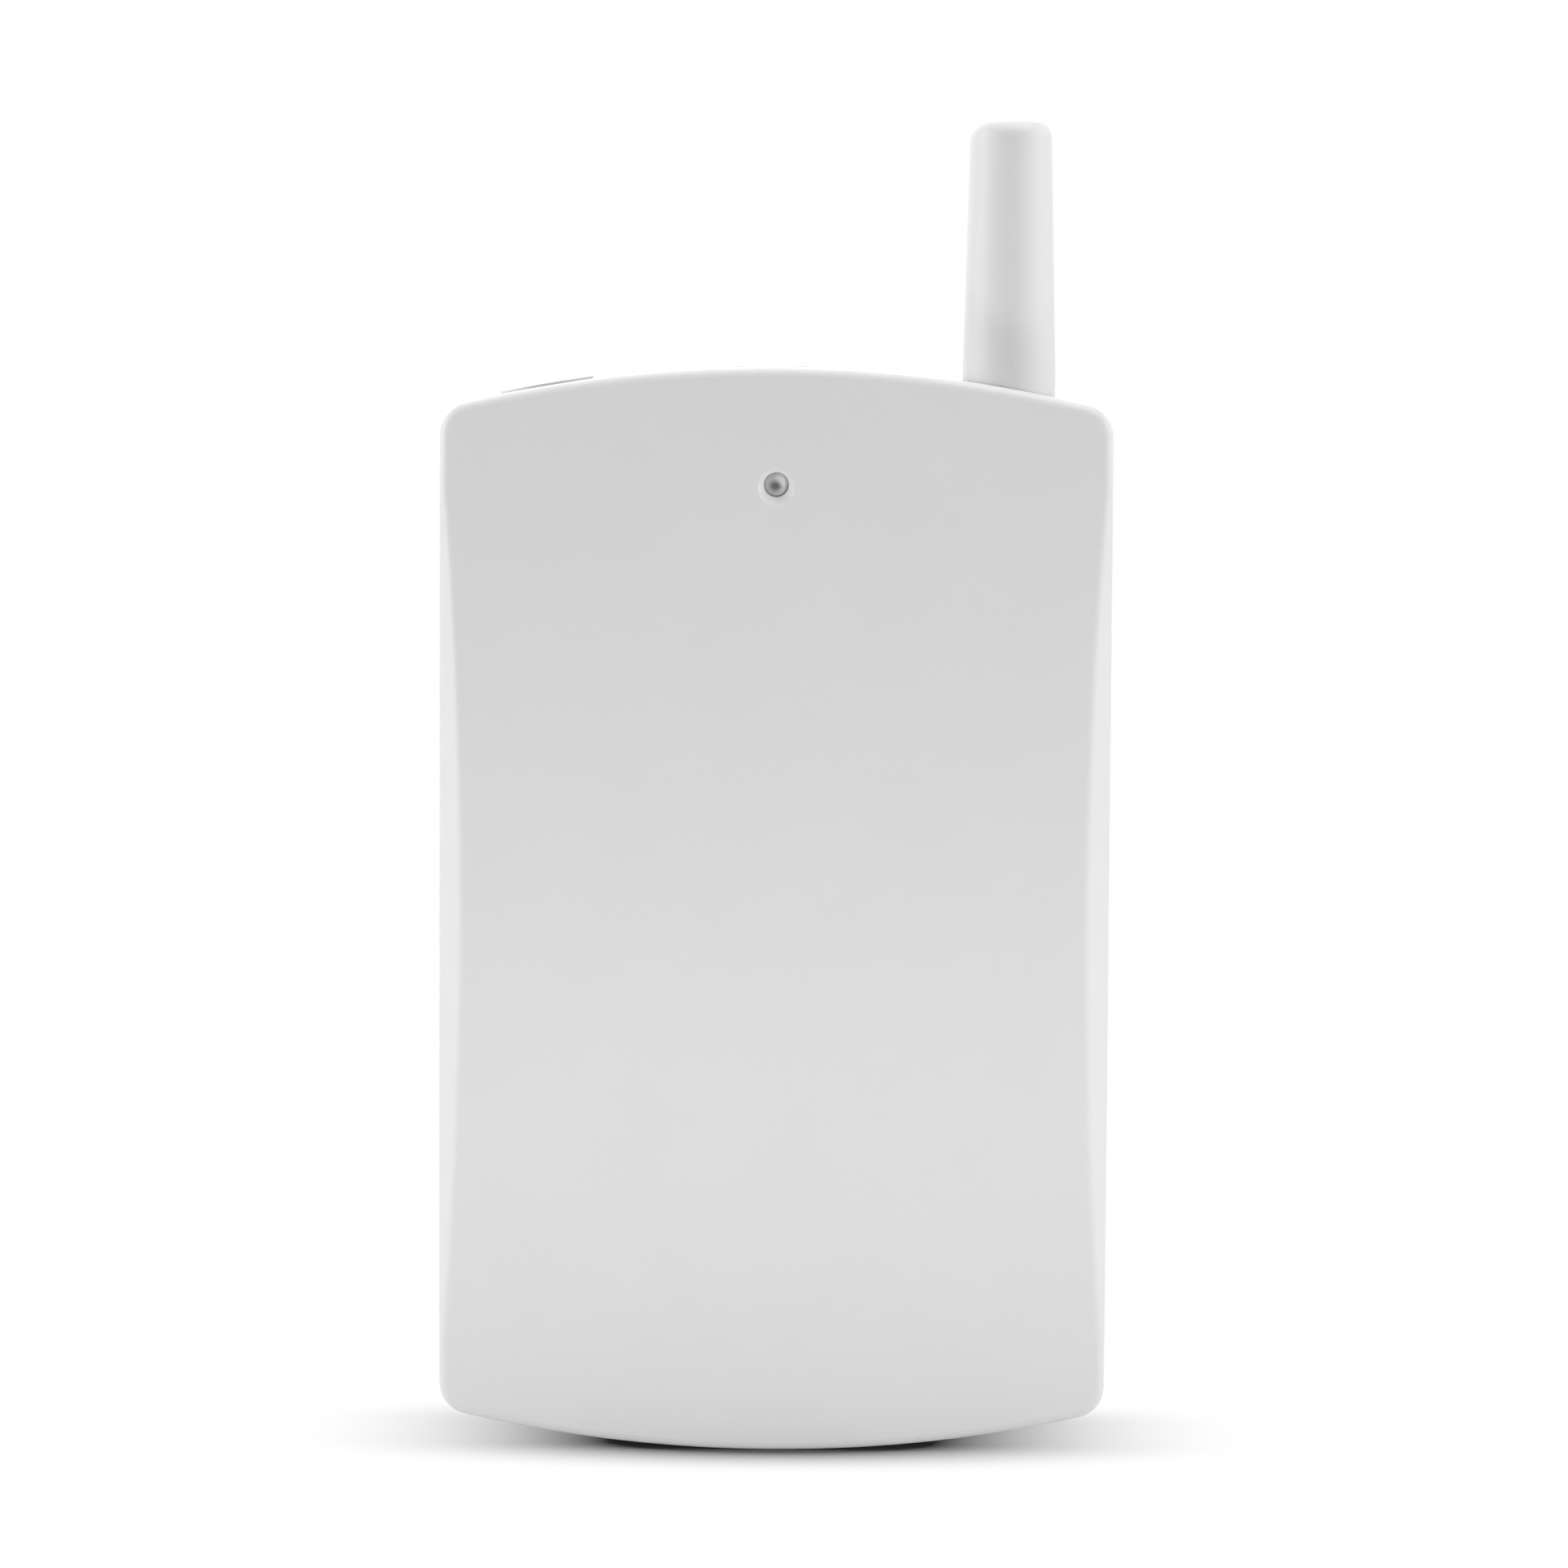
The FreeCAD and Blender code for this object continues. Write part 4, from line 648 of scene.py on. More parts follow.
def loose_parts(name):
    """Boxes of the separate solids in a CAD node, as (low, high), sorted by place"""
    shape = merged_copy(name)
    waiting = set(shape.verts)
    boxes = []
    while waiting:
        found = [waiting.pop()]
        for vertex in found:
            for edge in vertex.link_edges:
                other = edge.other_vert(vertex)
                if other in waiting:
                    waiting.remove(other)
                    found.append(other)
        corners = [[pick(vertex.co[axis] for vertex in found) for axis in range(3)] for pick in (min, max)]
        boxes.append((Vector(corners[0]), Vector(corners[1])))
    shape.free()
    return sorted(boxes, key=lambda box: (round(box[0].x, 5), round(box[0].z, 5)))


def middle_of(box):
    """Middle of a box in the board's plane, as (x, z)"""
    low, high = box
    return ((low.x + high.x) / 2, (low.z + high.z) / 2)


def soften(name, width):
    """Stand a copy of a CAD node with small rounded edges in its place"""
    shape = merged_copy(name)
    bmesh.ops.dissolve_limit(shape, angle_limit=FLAT_ANGLE, verts=shape.verts, edges=shape.edges)
    body = next(body for body, nodes in bodies.items() if name in nodes)
    add_piece(f"{name}_rounded", shape, NODE_FINISHES[name], body, (name,), width)


# Material of each CAD node
NODE_FINISHES = {
    "front_cover": satin_white_abs,
    "back_shell": satin_white_abs,
    "antenna_sleeve": satin_white_abs,
    "port_plug": satin_white_abs,
    "antenna_whip": tinned_copper,
    "circuit_board": lacquered_laminate,
    "board_screws": zinc_plated_steel,
    "status_lamp": diffusing_epoxy,
    "lamp_legs": tinned_copper,
    "lamp_spacer": natural_nylon,
    "sensor_case": grey_abs,
    "sensor_lid": light_grey_abs,
    "sensor_disc": brass_sheet,
    "sensor_ceramic": fired_ceramic,
    "sensor_mass": zinc_plated_steel,
    "trimmer_body": blue_polyester,
    "trimmer_rotor": white_acetal,
    "power_switch_body": black_filled_nylon,
    "power_switch_knob": white_acetal,
    "tamper_switch_body": black_filled_nylon,
    "tamper_plunger": red_acetal,
    "header_block": black_filled_nylon,
    "header_pins": gold_flash,
    "jumper_cap": blue_nylon,
    "coding_chip": moulded_epoxy,
    "chip_legs": tinned_copper,
    "resonator_can": drawn_steel_can,
    "transistor": moulded_epoxy,
    "transistor_legs": tinned_copper,
    "filter_capacitor": shrunk_sleeve,
    "supply_capacitor": shrunk_sleeve,
    "resistors": fired_resistor_glaze,
    "resistor_caps": tinned_copper,
    "battery": printed_steel_jacket,
    "battery_terminals": nickel_plate,
    "battery_clip": black_soft_pvc,
    "clip_contacts": nickel_plate,
    "battery_lead_red": red_soft_pvc,
    "battery_lead_black": black_soft_pvc,
    "battery_foam": open_cell_foam,
}

# Width of the rounded edges, in millimetres, on pieces whose solids have sharp ones
SOFT_EDGES = {
    "power_switch_body": 0.15,
    "power_switch_knob": 0.2,
    "header_block": 0.12,
    "jumper_cap": 0.2,
    "trimmer_body": 0.2,
    "resistors": 0.06,
    "resistor_caps": 0.05,
    "transistor": 0.2,
}


# Operators


class DETECTOR_OT_finishes(bpy.types.Operator):
    """Give every solid its material"""

    bl_idname = "detector.finishes"
    bl_label = "Finishes"

    def execute(self, context):
        for name, make in NODE_FINISHES.items():
            mesh = frame["nodes"][name].data
            mesh.materials.clear()
            mesh.materials.append(finish(make))
        return {"FINISHED"}


class DETECTOR_OT_edges(bpy.types.Operator):
    """Round the sharp edges of the small mouldings"""

    bl_idname = "detector.edges"
    bl_label = "Small edges"

    def execute(self, context):
        for name, width in SOFT_EDGES.items():
            soften(name, width * MM)
        return {"FINISHED"}


class DETECTOR_OT_lamp(bpy.types.Operator):
    """Cast lens of the status lamp"""

    bl_idname = "detector.lamp"
    bl_label = "Status lamp"

    def execute(self, context):
        low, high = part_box("status_lamp")
        base = Vector(((low.x + high.x) / 2, high.y, (low.z + high.z) / 2))
        rim = (high.x - low.x) / 2
        lens = rim - 0.4 * MM
        step = 1.0 * MM
        tip = high.y - low.y
        edge = 0.15 * MM
        # The dome is a little flatter than a half ball
        crown = 1.7 * MM
        start = math.acos(lens / crown)
        bands = 10
        turns = [start + (math.pi / 2 - start) * band / bands for band in range(bands)]
        dome = [(crown * math.cos(turn), tip - crown + crown * math.sin(turn)) for turn in turns]
        foot = [(0.0, 0.0), (rim - edge, 0.0), (rim, edge), (rim, step - edge), (rim - edge, step)]
        shape = bmesh.new()
        add_turned(shape, [*foot, (lens, step), *dome, (0.0, tip)], base, steps=48)
        add_piece("lamp_lens", shape, diffusing_epoxy, replaced=("status_lamp",))
        return {"FINISHED"}


# Heights over the board. Real copper and ink are thinner, and are drawn thick enough to show
COPPER = 0.06 * MM
PAD = 0.08 * MM
INK = 0.04 * MM
# Half the distance between the two legs of a lamp or a small capacitor
HALF_PITCH = 1.27 * MM
# Half the thickness of the battery's leads
LEAD_RADIUS = 0.65 * MM
# Legs on each side of the chip, and how many of the inner side's lead to the sensor
SIDE_LEGS = 9
SENSOR_LEGS = 5


def lead_pads():
    """Where the red and the black lead meet the board, as (x, z)"""
    leads = [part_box(name) for name in ("battery_lead_red", "battery_lead_black")]
    return [(low.x + LEAD_RADIUS, high.z - LEAD_RADIUS) for low, high in leads]


def chip_tracks():
    """Routes from the chip's legs, and the plated holes in which some of them end"""
    chip_x = middle_of(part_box("coding_chip"))[0]
    stub = 1.3 * MM
    sensor_x = -11.0 * MM
    slope = 2.0 * MM
    routes = []
    holes = []
    for number, box in enumerate(loose_parts("chip_legs")):
        x, z = middle_of(box)
        row = number % SIDE_LEGS
        if x < chip_x:
            # Outer side: short stubs, every other one with a hole at its end
            routes.append([(x, z), (x - stub, z)])
            if row % 2:
                holes.append((x - stub, z))
        elif row < SENSOR_LEGS:
            routes.append([(x, z), (sensor_x, z)])
        else:
            # The upper legs turn up together and pass over the access hole, each in its lane
            lane = row - SENSOR_LEGS
            turn = x + (4.6 - lane) * MM
            top = (28.7 + 0.9 * lane) * MM
            end = ((8.6 + 2.1 * lane) * MM, top)
            rise = [(turn - slope / 2, z), (turn, z + slope / 2), (turn, top - slope), (turn + slope, top)]
            routes.append([(x, z), *rise, end])
            holes.append(end)
    return routes, holes


def resistor_tracks():
    """Bus that bends from the resistors round to the radio part, and its plated holes"""
    row_z = middle_of(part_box("resistors"))[1]
    uppers = [box for box in loose_parts("resistor_caps") if box[0].z > row_z]
    slope = 1.0 * MM
    routes = []
    for lane, box in enumerate(uppers):
        x, z = middle_of(box)
        level = (26.0 - lane * 1.1) * MM
        right = (19.6 + lane * 1.1) * MM
        top = (28.6 - lane * 0.3) * MM
        bend = [(x, level - slope), (x + slope, level), (right - slope, level), (right, level + slope)]
        routes.append([(x, z), *bend, (right, top)])
    return routes, [route[-1] for route in routes]


def lamp_tracks():
    """Routes that run apart and then down from the lamp's legs, and their plated holes"""
    x, z = middle_of(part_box("status_lamp"))
    aside = 2.4 * MM
    end = 33.6 * MM
    routes = []
    for side in (-1, 1):
        leg = x + side * HALF_PITCH
        bend = leg + side * aside
        routes.append([(leg, z), (bend, z - aside), (bend, end)])
    return routes, [route[-1] for route in routes]


def supply_tracks():
    """Routes from the small capacitor, which end under the coding pins and under the trimmer"""
    x, z = middle_of(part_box("supply_capacitor"))
    pins_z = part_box("header_block")[0].z + 1.0 * MM
    aside = 4.5 * MM
    return [[(x, z), (x, pins_z)], [(x, z), (x - aside, z + aside)]], []


def power_tracks():
    """Routes from the red lead over the switch to the big capacitor, and from the black lead below it"""
    switch_x, switch_z = middle_of(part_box("power_switch_body"))
    bulk_x = middle_of(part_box("filter_capacitor"))[0]
    red, black = lead_pads()
    slope = 2.0 * MM
    ground_z = black[1] - 1.2 * MM
    return (
        [(switch_x, switch_z), (bulk_x, switch_z)],
        [red, (red[0], switch_z - slope), (red[0] - slope, switch_z), (switch_x, switch_z)],
        [black, (black[0] - 1.4 * MM, ground_z), (bulk_x - 9.0 * MM, ground_z)],
    )


class DETECTOR_OT_tracks(bpy.types.Operator):
    """Copper tracks under the lacquer, with their through-plated holes"""

    bl_idname = "detector.tracks"
    bl_label = "Board tracks"

    def execute(self, context):
        board = context.scene.detector_board
        shape = bmesh.new()
        holes = []
        for tracks in (chip_tracks, resistor_tracks, lamp_tracks, supply_tracks):
            routes, ends = tracks()
            holes.extend(ends)
            for route in routes:
                add_route(shape, route, board.track, COPPER)
        for route in power_tracks():
            add_route(shape, route, board.power_track, COPPER)
        whip_x = middle_of(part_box("antenna_whip"))[0]
        can_x = middle_of(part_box("resonator_can"))[0]
        level = 40.2 * MM
        slope = 2.0 * MM
        aerial = [(whip_x, level + slope), (whip_x - slope, level), (can_x, level)]
        aerial_width = board.power_track * 0.7
        add_route(shape, aerial, aerial_width, COPPER)
        add_piece("board_tracks", shape, lacquered_copper)

        bore = 0.17 * MM
        collar = 0.42 * MM
        rings = bmesh.new()
        for x, z in holes:
            add_ring(rings, on_board(x, z), bore, collar, PAD, steps=16)
        add_piece("plated_holes", rings, soldered_joint)
        return {"FINISHED"}


class DETECTOR_OT_joints(bpy.types.Operator):
    """Pads and solder round the legs, the leads and the antenna's wire"""

    bl_idname = "detector.joints"
    bl_label = "Solder joints"

    def execute(self, context):
        shape = bmesh.new()
        for name, leg in (("chip_legs", 0.25), ("transistor_legs", 0.3)):
            bead = [(0.0, 0.0), (0.8, 0.0), (0.8, 0.08), (leg + 0.22, 0.16), (leg + 0.02, 0.45), (0.0, 0.5)]
            for box in loose_parts(name):
                add_turned(shape, in_metres(bead), on_board(*middle_of(box)), steps=20)

        whip_low, whip_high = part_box("antenna_whip")
        whip = (whip_high.x - whip_low.x) / 2
        whip_foot = (whip_low.x + whip, whip_low.z + whip)
        wires = [*[(pad, LEAD_RADIUS) for pad in lead_pads()], (whip_foot, whip)]
        cone = in_metres([(0.75, 0.0), (0.75, 0.1), (0.4, 0.28), (0.12, 0.7), (0.03, 1.05)])
        for (x, z), wire in wires:
            skin = [(wire + out, up) for out, up in cone]
            add_turned(shape, [(0.0, 0.0), *skin, (0.0, skin[-1][1])], on_board(x, z), steps=24)

        # A resistor's pads reach out from under its end caps
        row_z = middle_of(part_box("resistors"))[1]
        reach = 0.7 * MM
        width = 1.9 * MM
        for box in loose_parts("resistor_caps"):
            x, z = middle_of(box)
            end = z + (reach if z > row_z else -reach)
            add_strip(shape, (x, z), (x, end), width, PAD)
        add_piece("solder_joints", shape, soldered_joint, soft_edge=0.03 * MM)
        return {"FINISHED"}


# Parts that the legend outlines with a rectangle, and those that it outlines with a circle
BOXED = (
    "coding_chip",
    "trimmer_body",
    "power_switch_body",
    "tamper_switch_body",
    "header_block",
    "transistor",
)
RINGED = ("sensor_case", "filter_capacitor", "supply_capacitor", "resonator_can", "lamp_spacer")


class DETECTOR_OT_legend(bpy.types.Operator):
    """White outlines that show where each part sits, without any lettering"""

    bl_idname = "detector.legend"
    bl_label = "Board legend"

    def execute(self, context):
        line = context.scene.detector_board.legend
        room = 0.35 * MM
        leg_room = 0.85 * MM
        shape = bmesh.new()
        for name in BOXED:
            low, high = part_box(name)
            # The chip's outline goes round its legs
            side = leg_room if name == "coding_chip" else room
            left, right = low.x - side, high.x + side
            bottom, top = low.z - room, high.z + room
            corners = [(left, bottom), (right, bottom), (right, top), (left, top), (left, bottom)]
            add_route(shape, corners, line, INK)
        for name in RINGED:
            low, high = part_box(name)
            radius = (high.x - low.x) / 2 + room
            middle = on_board(*middle_of((low, high)))
            add_ring(shape, middle, radius - line / 2, radius + line / 2, INK, steps=64)
        for low, high in loose_parts("resistors"):
            for x in (low.x - room, high.x + room):
                add_route(shape, [(x, low.z), (x, high.z)], line, INK)
        # Plain plus and minus signs beside the battery's leads
        red, black = lead_pads()
        plus = (red[0] + 2.6 * MM, red[1])
        minus = (black[0] - 2.9 * MM, black[1])
        arm = 0.7 * MM
        for x, z in (plus, minus):
            add_route(shape, [(x - arm, z), (x + arm, z)], line, INK)
        add_route(shape, [(plus[0], plus[1] - arm), (plus[0], plus[1] + arm)], line, INK * 0.95)
        add_piece("board_legend", shape, white_legend_ink)
        return {"FINISHED"}


def add_vent(top, base, reach, face):
    """Four raised quarters, which leave the cross-shaped line along which the can would open"""
    inner = 0.25 * MM
    raised = face + 0.07 * MM
    arc = math.radians(76)
    section = [(inner, face), (reach, face), (reach, raised), (inner, raised)]
    for quarter in range(4):
        sector = bmesh.new()
        add_turned(sector, section, base, steps=8, closed=True, sweep=arc)
        close_ends(sector)
        turn = Matrix.Rotation(quarter * math.tau / 4, 3, "Y")
        bmesh.ops.rotate(sector, cent=base, matrix=turn, verts=sector.verts)
        part = as_mesh("sector", sector)
        top.from_mesh(part)
        bpy.data.meshes.remove(part)


def add_capacitor(name, vented):
    """Electrolytic capacitor: shrunk sleeve with a crimp near the foot, bare top and a minus stripe"""
    low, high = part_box(name)
    radius = (high.x - low.x) / 2
    height = high.y - low.y
    base = on_board(*middle_of((low, high)))
    lip = radius - 0.55 * MM
    groove = radius - 0.22 * MM
    dip = height - 0.12 * MM
    profile = [
        (0.0, 0.0),
        (radius - 0.4 * MM, 0.0),
        (radius, 0.35 * MM),
        (radius, 1.1 * MM),
        (groove, 1.35 * MM),
        (groove, 1.6 * MM),
        (radius, 1.85 * MM),
        (radius, height - 0.35 * MM),
        (radius - 0.1 * MM, height - 0.1 * MM),
        (radius - 0.35 * MM, height),
        (lip, height - 0.04 * MM),
        (lip, dip),
        (0.0, dip),
    ]
    shape = bmesh.new()
    add_turned(shape, profile, base, steps=48)
    add_piece(f"{name}_sleeve", shape, shrunk_sleeve, replaced=(name,))

    top = bmesh.new()
    face = height - 0.11 * MM
    under = face - 0.1 * MM
    add_turned(top, [(0.0, under), (lip, under), (lip, face), (0.0, face)], base, steps=48)
    if vented:
        add_vent(top, base, lip - 0.3 * MM, face)
    add_piece(f"{name}_top", top, rolled_aluminium)

    # The stripe runs up the sleeve, over this much of its round and from this angle on
    arc = math.radians(62)
    start = math.radians(200)
    stripe = bmesh.new()
    skin = radius + 0.02 * MM
    band = [(skin, 2.1 * MM), (skin, height - 0.5 * MM)]
    add_turned(stripe, band, base, steps=12, sweep=arc)
    bmesh.ops.solidify(stripe, geom=stripe.faces[:], thickness=0.015 * MM)
    turn = Matrix.Rotation(start, 3, "Y")
    bmesh.ops.rotate(stripe, cent=base, matrix=turn, verts=stripe.verts)
    add_piece(f"{name}_stripe", stripe, printed_stripe)


class DETECTOR_OT_capacitors(bpy.types.Operator):
    """The two electrolytic capacitors"""

    bl_idname = "detector.capacitors"
    bl_label = "Capacitors"

    def execute(self, context):
        add_capacitor("filter_capacitor", True)
        add_capacitor("supply_capacitor", False)
        return {"FINISHED"}


class DETECTOR_OT_coil(bpy.types.Operator):
    """Air-wound coil of the radio part"""

    bl_idname = "detector.coil"
    bl_label = "Aerial coil"

    def execute(self, context):
        wire = 0.28 * MM
        radius = 1.35 * MM
        turns = 5
        pitch = 0.68 * MM
        steps = 20
        gap = 0.35 * MM
        centre = on_board(17.0 * MM, 37.6 * MM, radius + wire + gap)
        lowest = centre - FORWARD * radius
        along = Vector((1.0, 0.0, 0.0))
        shape = bmesh.new()
        # The circle stands across the wire at the coil's lowest point
        ring = bmesh.ops.create_circle(shape, segments=10, radius=wire)["verts"]
        bmesh.ops.translate(shape, vec=lowest, verts=ring)
        bmesh.ops.spin(
            shape,
            geom=ring + shape.edges[:],
            cent=centre,
            axis=along,
            dvec=along * pitch / steps,
            angle=math.tau * turns,
            steps=steps * turns,
        )
        close_ends(shape)
        # Both ends of the wire go straight down to the board
        for x in (centre.x, centre.x + pitch * turns):
            add_turned(shape, rod(wire, board_front - lowest.y), on_board(x, lowest.z), steps=10)
        add_piece("aerial_coil", shape, enamelled_copper)
        return {"FINISHED"}


class DETECTOR_OT_discs(bpy.types.Operator):
    """Two disc capacitors, each on two wire legs"""

    bl_idname = "detector.discs"
    bl_label = "Disc capacitors"

    def execute(self, context):
        upward = Vector((0.0, 0.0, 1.0))
        radius = 2.1 * MM
        depth = 0.85 * MM
        half = [(0.0, -depth), (radius * 0.6, -depth * 0.9), (radius * 0.93, -depth * 0.45), (radius, 0.0)]
        lens = [*half, *[(out, -up) for out, up in reversed(half[:-1])]]
        cone = in_metres([(0.0, 0.0), (0.75, 0.0), (0.75, 0.08), (0.35, 0.25), (0.0, 0.5)])
        places = in_metres([(-6.9, 19.2), (-18.5, 28.3)])
        discs = bmesh.new()
        legs = bmesh.new()
        for x, z in places:
            add_turned(discs, lens, on_board(x, z, radius + 0.9 * MM), along=upward)
            for side in (-1, 1):
                foot = on_board(x + side * HALF_PITCH, z)
                add_turned(legs, rod(0.25 * MM, 1.6 * MM), foot, steps=10)
                add_turned(legs, cone, foot, steps=16)
        add_piece("disc_capacitors", discs, brown_dipped_ceramic)
        add_piece("disc_capacitor_legs", legs, tinned_copper)
        return {"FINISHED"}


# Thickness of the steel that the switches' covers are pressed from
SHEET = 0.25 * MM


def add_switch_frame():
    """Frame of the slide switch, with a window in which its knob slides"""
    low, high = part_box("power_switch_body")
    knob_low, knob_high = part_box("power_switch_knob")
    play = 0.25 * MM
    travel = 2.0 * MM
    columns = (low.x - SHEET, knob_low.x - play, knob_high.x + travel + play, high.x + SHEET)
    rows = (low.z - SHEET, knob_low.z - play, knob_high.z + play, high.z + SHEET)
    shape = bmesh.new()
    # The grid's corners lie at -1.5, -0.5, 0.5 and 1.5, and each moves to its column and row
    bmesh.ops.create_grid(shape, x_segments=3, y_segments=3, size=1.5)
    for vertex in shape.verts:
        column, row = round(vertex.co.x + 1.5), round(vertex.co.y + 1.5)
        vertex.co = Vector((columns[column], low.y, rows[row]))
    centre = Vector((columns[1] + columns[2], rows[1] + rows[2])) / 2
    window = min(shape.faces, key=lambda face: (face.calc_center_median().xz - centre).length)
    bmesh.ops.delete(shape, geom=[window], context="FACES")
    grown = bmesh.ops.extrude_face_region(shape, geom=shape.faces[:])
    raised = [item for item in grown["geom"] if isinstance(item, bmesh.types.BMVert)]
    bmesh.ops.translate(shape, vec=FORWARD * SHEET, verts=raised)
    # Two flaps fold down over the long sides and stop short of the board
    for first, last in ((rows[0], low.z), (high.z, rows[3])):
        add_box(shape, (columns[0], low.y, first), (columns[3], board_front - 0.5 * MM, last))
    add_piece("power_switch_frame", shape, nickel_plate, soft_edge=0.06 * MM)


def add_tamper_plate():
    """Square cover plate of the tamper switch, with a round hole for the plunger and four rivets"""
    low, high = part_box("tamper_switch_body")
    plunger_low, plunger_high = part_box("tamper_plunger")
    hole = (plunger_high.x - plunger_low.x) / 2 + 0.35 * MM
    half = (high.x - low.x) / 2 - 0.15 * MM
    x, z = middle_of((low, high))
    face = low.y
    plate = bmesh.new()
    add_ring(plate, Vector((x, face, z)), hole, half, SHEET)
    # The ring's outer edge is pushed out to a square
    for vertex in plate.verts:
        middle = Vector((x, vertex.co.y, z))
        aside = vertex.co - middle
        if aside.length > (hole + half) / 2:
            vertex.co = middle + aside * (half / max(abs(aside.x), abs(aside.z)))
    add_piece("tamper_switch_plate", plate, nickel_plate, soft_edge=0.05 * MM)

    rivets = bmesh.new()
    corner = half - 0.75 * MM
    head = rounded(0.5 * MM, 0.5 * MM, 0.2 * MM)
    for side_x in (-1, 1):
        for side_z in (-1, 1):
            spot = Vector((x + side_x * corner, face, z + side_z * corner))
            add_turned(rivets, head, spot, steps=20)
    add_piece("tamper_switch_rivets", rivets, black_filled_nylon)


class DETECTOR_OT_switches(bpy.types.Operator):
    """Steel frame of the slide switch and cover plate of the tamper switch"""

    bl_idname = "detector.switches"
    bl_label = "Switch covers"

    def execute(self, context):
        add_switch_frame()
        add_tamper_plate()
        return {"FINISHED"}


class DETECTOR_OT_foam(bpy.types.Operator):
    """Foam pad that keeps the battery from rattling"""

    bl_idname = "detector.foam"
    bl_label = "Foam pad"

    def execute(self, context):
        low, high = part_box("battery_foam")
        middle = (low + high) / 2
        half = (high - low) / 2
        shape = bmesh.new()
        add_box(shape, low, high)
        bmesh.ops.subdivide_edges(shape, edges=shape.edges[:], cuts=14, use_grid_fill=True)
        # Crowned in the middle, drawn in by a quarter towards the cut edges
        for vertex in shape.verts:
            share = max(abs(vertex.co.x - middle.x) / half.x, abs(vertex.co.z - middle.z) / half.z)
            vertex.co.y = middle.y + (vertex.co.y - middle.y) * (1.0 - 0.25 * share**6)
        pad = add_piece("foam_pad", shape, open_cell_foam, replaced=("battery_foam",))
        return {"FINISHED"}


# Where the camera stands, what it looks at and how far it leans, fitted to the outline in the photograph
EYE = Vector((4.49, -593.68, 60.89)) * MM
AIM = Vector((0.92, -27.0, 12.98)) * MM
ROLL = math.radians(0.32)
SENSOR_WIDTH = 36.0


def aim_at(eye, target, roll=0.0):
    """Matrix of a camera or lamp that stands at eye and looks at target"""
    forward = (target - eye).normalized()
    level = forward.cross(Vector((0, 0, 1))).normalized()
    upright = level.cross(forward)
    right = level * math.cos(roll) + upright * math.sin(roll)
    up = upright * math.cos(roll) - level * math.sin(roll)
    turn = Matrix((right, up, -forward)).transposed()
    return Matrix.Translation(eye) @ turn.to_4x4()


def add_lamp(name, place, target, size, power):
    """Soft rectangular lamp"""
    data = bpy.data.lights.new(name, "AREA")
    data.shape = "RECTANGLE"
    data.size, data.size_y = size
    data.energy = power
    add_object(name, data).matrix_world = aim_at(Vector(place), Vector(target))


def add_camera(lens):
    """Camera at the photograph's viewing angle"""
    data = bpy.data.cameras.new("camera")
    data.lens = lens
    data.sensor_width = SENSOR_WIDTH
    data.clip_start = 0.01
    data.clip_end = 20.0
    camera = add_object("camera", data)
    camera.matrix_world = aim_at(EYE, AIM, ROLL)
    bpy.context.scene.camera = camera


# The camera sees the white room, and so do gloss and glass
SEEN = ("Is Camera Ray", "Is Glossy Ray", "Is Transmission Ray")


def for_rays(tree, kinds):
    """One for rays of these kinds, and nought for all other rays"""
    path = add_node(tree, "ShaderNodeLightPath")
    value = path.outputs[kinds[0]]
    either = {"operation": "MAXIMUM"}
    for kind in kinds[1:]:
        value = add_node(tree, "ShaderNodeMath", either, {0: value, 1: path.outputs[kind]}).outputs["Value"]
    return value


# The floor shows only in the shadow, whose core lies this far in front of the wall and is this deep each way
SHADOW_MIDDLE = 13.8 * MM
SHADOW_CORE = 5.0 * MM
# Past the core the shadow fades out over this distance, and over that divided by the squeeze along the wall
SHADOW_REACH = 16.0 * MM
SHADOW_SQUEEZE = 0.327
# The floor shows fully from this share of the falloff on
SHADOW_FULL = 1.0 / 2.2
# Grey of the floor to the lamps, and to the camera, where the darker grey is a painted shadow
FLOOR_TONE = 0.8
SHADOW_TONE = 0.14


def shadow_falloff(tree):
    """One in the core of the shadow, falling to nought at its outer edge"""
    # Steps of vector arithmetic that turn a place into its distance from the core
    scale = Vector((SHADOW_SQUEEZE, 1.0, 0.0)) / SHADOW_REACH
    place = own_space(tree, scale, (0.0, SHADOW_MIDDLE / SHADOW_REACH, 0.0))
    steps = (
        ("ABSOLUTE", {}),
        ("SUBTRACT", {1: (0.0, SHADOW_CORE / SHADOW_REACH, 0.0)}),
        ("MAXIMUM", {1: (0.0, 0.0, 0.0)}),
    )
    for operation, values in steps:
        step = add_node(tree, "ShaderNodeVectorMath", {"operation": operation, **values}, {0: place})
        place = step.outputs["Vector"]
    return add_node(tree, "ShaderNodeTexGradient", {"gradient_type": "QUADRATIC_SPHERE"}, {"Vector": place})


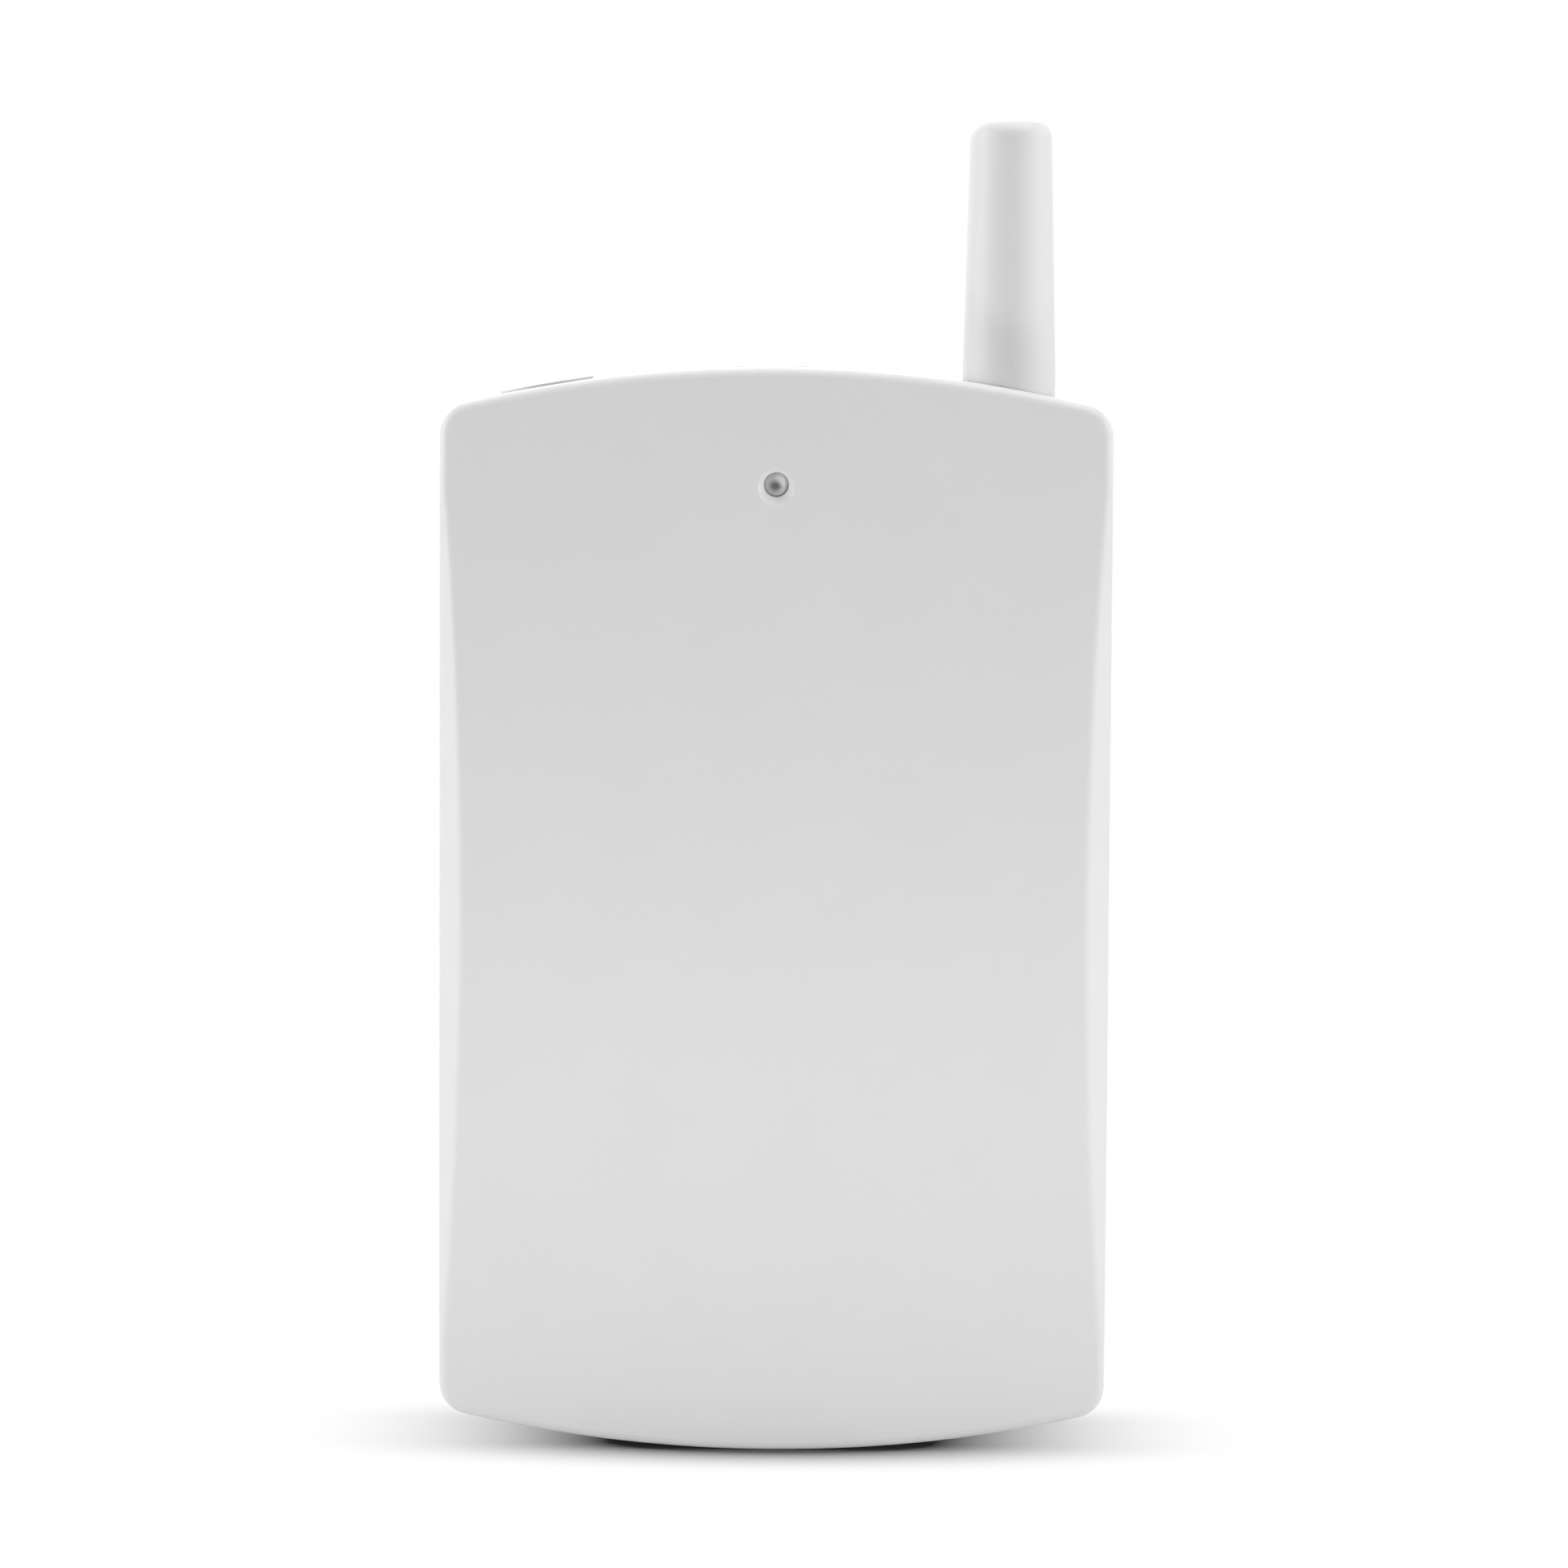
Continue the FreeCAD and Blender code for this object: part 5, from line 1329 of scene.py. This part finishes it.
def floor_with_painted_shadow():
    # Matt floor, white to the lamps and dark grey to the camera, which shows as a painted shadow at the foot
    # over the lamps' real shade, and see-through beyond it, where the white room shows
    material = bpy.data.materials.new("unnamed")
    tree = empty_tree(material)
    fall = shadow_falloff(tree).outputs["Fac"]
    fade = {"From Max": SHADOW_FULL, "To Min": 1.0, "To Max": 0.0}
    lift = add_node(tree, "ShaderNodeMapRange", fade, {"Value": fall}).outputs["Result"]
    # Lamps shine through too, so that the open cover, which swings lower than the foot, isn't dark there
    passing = for_rays(tree, (*SEEN, "Is Shadow Ray"))
    share = add_node(tree, "ShaderNodeMath", {"operation": "MULTIPLY"}, {0: passing, 1: lift})
    tones = {"To Min": FLOOR_TONE, "To Max": SHADOW_TONE}
    tone = add_node(tree, "ShaderNodeMapRange", tones, {"Value": for_rays(tree, SEEN)}).outputs["Result"]
    matt = add_node(tree, "ShaderNodeBsdfDiffuse", links={"Color": tone}).outputs["BSDF"]
    # From below, where the open cover ends, the floor glows as much as it does from above
    under = add_node(tree, "ShaderNodeBsdfTranslucent", links={"Color": tone}).outputs["BSDF"]
    side = add_node(tree, "ShaderNodeNewGeometry").outputs["Backfacing"]
    skin = add_node(tree, "ShaderNodeMixShader", links={0: side, 1: matt, 2: under}).outputs["Shader"]
    clear = add_node(tree, "ShaderNodeBsdfTransparent").outputs["BSDF"]
    mix = add_node(tree, "ShaderNodeMixShader", links={0: share.outputs["Value"], 1: skin, 2: clear})
    add_node(tree, "ShaderNodeOutputMaterial", links={"Surface": mix.outputs["Shader"]})
    return material


def add_floor(ground):
    """Floor that shows a painted soft shadow at the foot of the object, over the real shade that it takes"""
    shape = bmesh.new()
    bmesh.ops.create_grid(shape, x_segments=1, y_segments=1, size=3.0)
    bmesh.ops.translate(shape, vec=(0, 0, ground), verts=shape.verts)
    floor = add_object("floor", as_mesh("floor", shape))
    floor.data.materials.append(finish(floor_with_painted_shadow))
    floor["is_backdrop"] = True


def add_sky(strength):
    """Even room light, seen as pure white by the camera and by metal and glass"""
    world = bpy.data.worlds.new("white_room")
    tree = empty_tree(world)
    levels = {"To Min": strength, "To Max": 1.0}
    level = add_node(tree, "ShaderNodeMapRange", levels, {"Value": for_rays(tree, SEEN)}).outputs["Result"]
    light = add_node(tree, "ShaderNodeBackground", {"Color": (1.0, 1.0, 1.0, 1.0)}, {"Strength": level})
    add_node(tree, "ShaderNodeOutputWorld", links={"Surface": light.outputs["Background"]})
    bpy.context.scene.world = world


class DETECTOR_OT_stage(bpy.types.Operator):
    """Set up the floor, the lamps, the room light and the camera"""

    bl_idname = "detector.stage"
    bl_label = "Stage"

    def execute(self, context):
        scene = context.scene
        settings = scene.detector_stage
        scene.view_settings.view_transform = "Standard"
        add_sky(settings.sky)
        low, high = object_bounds()
        add_floor(low.z)
        middle = (0.0, low.y / 2, 0.0)
        # Name, place and size in metres, and power in watts
        lamps = (
            ("left_lamp", (-0.75, -0.1, 0.3), (0.5, 0.5), settings.left_light),
            ("right_lamp", (0.75, -0.1, 0.3), (0.5, 0.5), settings.right_light),
            ("front_lamp", (0.6, -0.6, 0.1), (0.5, 0.4), settings.front_light),
            ("top_lamp", (0.3, -0.15, 0.8), (0.7, 0.5), settings.top_light),
            ("over_lamp", (0.0, 0.12, 0.8), (0.8, 0.4), settings.over_light),
            ("back_lamp", (-0.25, 0.8, 0.45), (0.9, 0.6), settings.back_light),
            ("low_card", (0.0, -0.13, -0.04), (0.3, 0.02), settings.low_light),
        )
        for name, place, size, power in lamps:
            add_lamp(name, place, middle, size, power)
        add_camera(settings.lens)
        return {"FINISHED"}


class DETECTOR_PT_panel(bpy.types.Panel):
    """Lists the steps that dress the detector"""

    bl_idname = "DETECTOR_PT_panel"
    bl_label = "Vibration detector"
    bl_space_type = "VIEW_3D"
    bl_region_type = "UI"
    bl_category = "Detector"

    def draw(self, context):
        layout = self.layout
        for step in STEPS:
            layout.operator(step.bl_idname)
        for name, group in SETTINGS.items():
            box = layout.box()
            for setting in group.__annotations__:
                box.prop(getattr(context.scene, name), setting)


STEPS = (
    DETECTOR_OT_finishes,
    DETECTOR_OT_edges,
    DETECTOR_OT_lamp,
    DETECTOR_OT_tracks,
    DETECTOR_OT_joints,
    DETECTOR_OT_legend,
    DETECTOR_OT_capacitors,
    DETECTOR_OT_coil,
    DETECTOR_OT_discs,
    DETECTOR_OT_switches,
    DETECTOR_OT_foam,
    DETECTOR_OT_stage,
)
SETTINGS = {
    "detector_case": CaseSettings,
    "detector_board": BoardSettings,
    "detector_battery": BatterySettings,
    "detector_stage": StageSettings,
}


def register():
    """Register the settings, the steps and the panel"""
    for group in SETTINGS.values():
        bpy.utils.register_class(group)
    for step in (*STEPS, DETECTOR_PT_panel):
        bpy.utils.register_class(step)
    for name, group in SETTINGS.items():
        setattr(bpy.types.Scene, name, PointerProperty(type=group))


def unregister():
    """Take the panel, the steps and the settings away again"""
    for name in SETTINGS:
        delattr(bpy.types.Scene, name)
    for step in (DETECTOR_PT_panel, *reversed(STEPS)):
        bpy.utils.unregister_class(step)
    for group in reversed(list(SETTINGS.values())):
        bpy.utils.unregister_class(group)


def main():
    """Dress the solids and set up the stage"""
    register()
    bpy.ops.detector.finishes()
    bpy.ops.detector.edges()
    bpy.ops.detector.lamp()
    bpy.ops.detector.tracks()
    bpy.ops.detector.joints()
    bpy.ops.detector.legend()
    bpy.ops.detector.capacitors()
    bpy.ops.detector.coil()
    bpy.ops.detector.discs()
    bpy.ops.detector.switches()
    bpy.ops.detector.foam()
    bpy.ops.detector.stage()


if __name__ == "__main__":
    main()
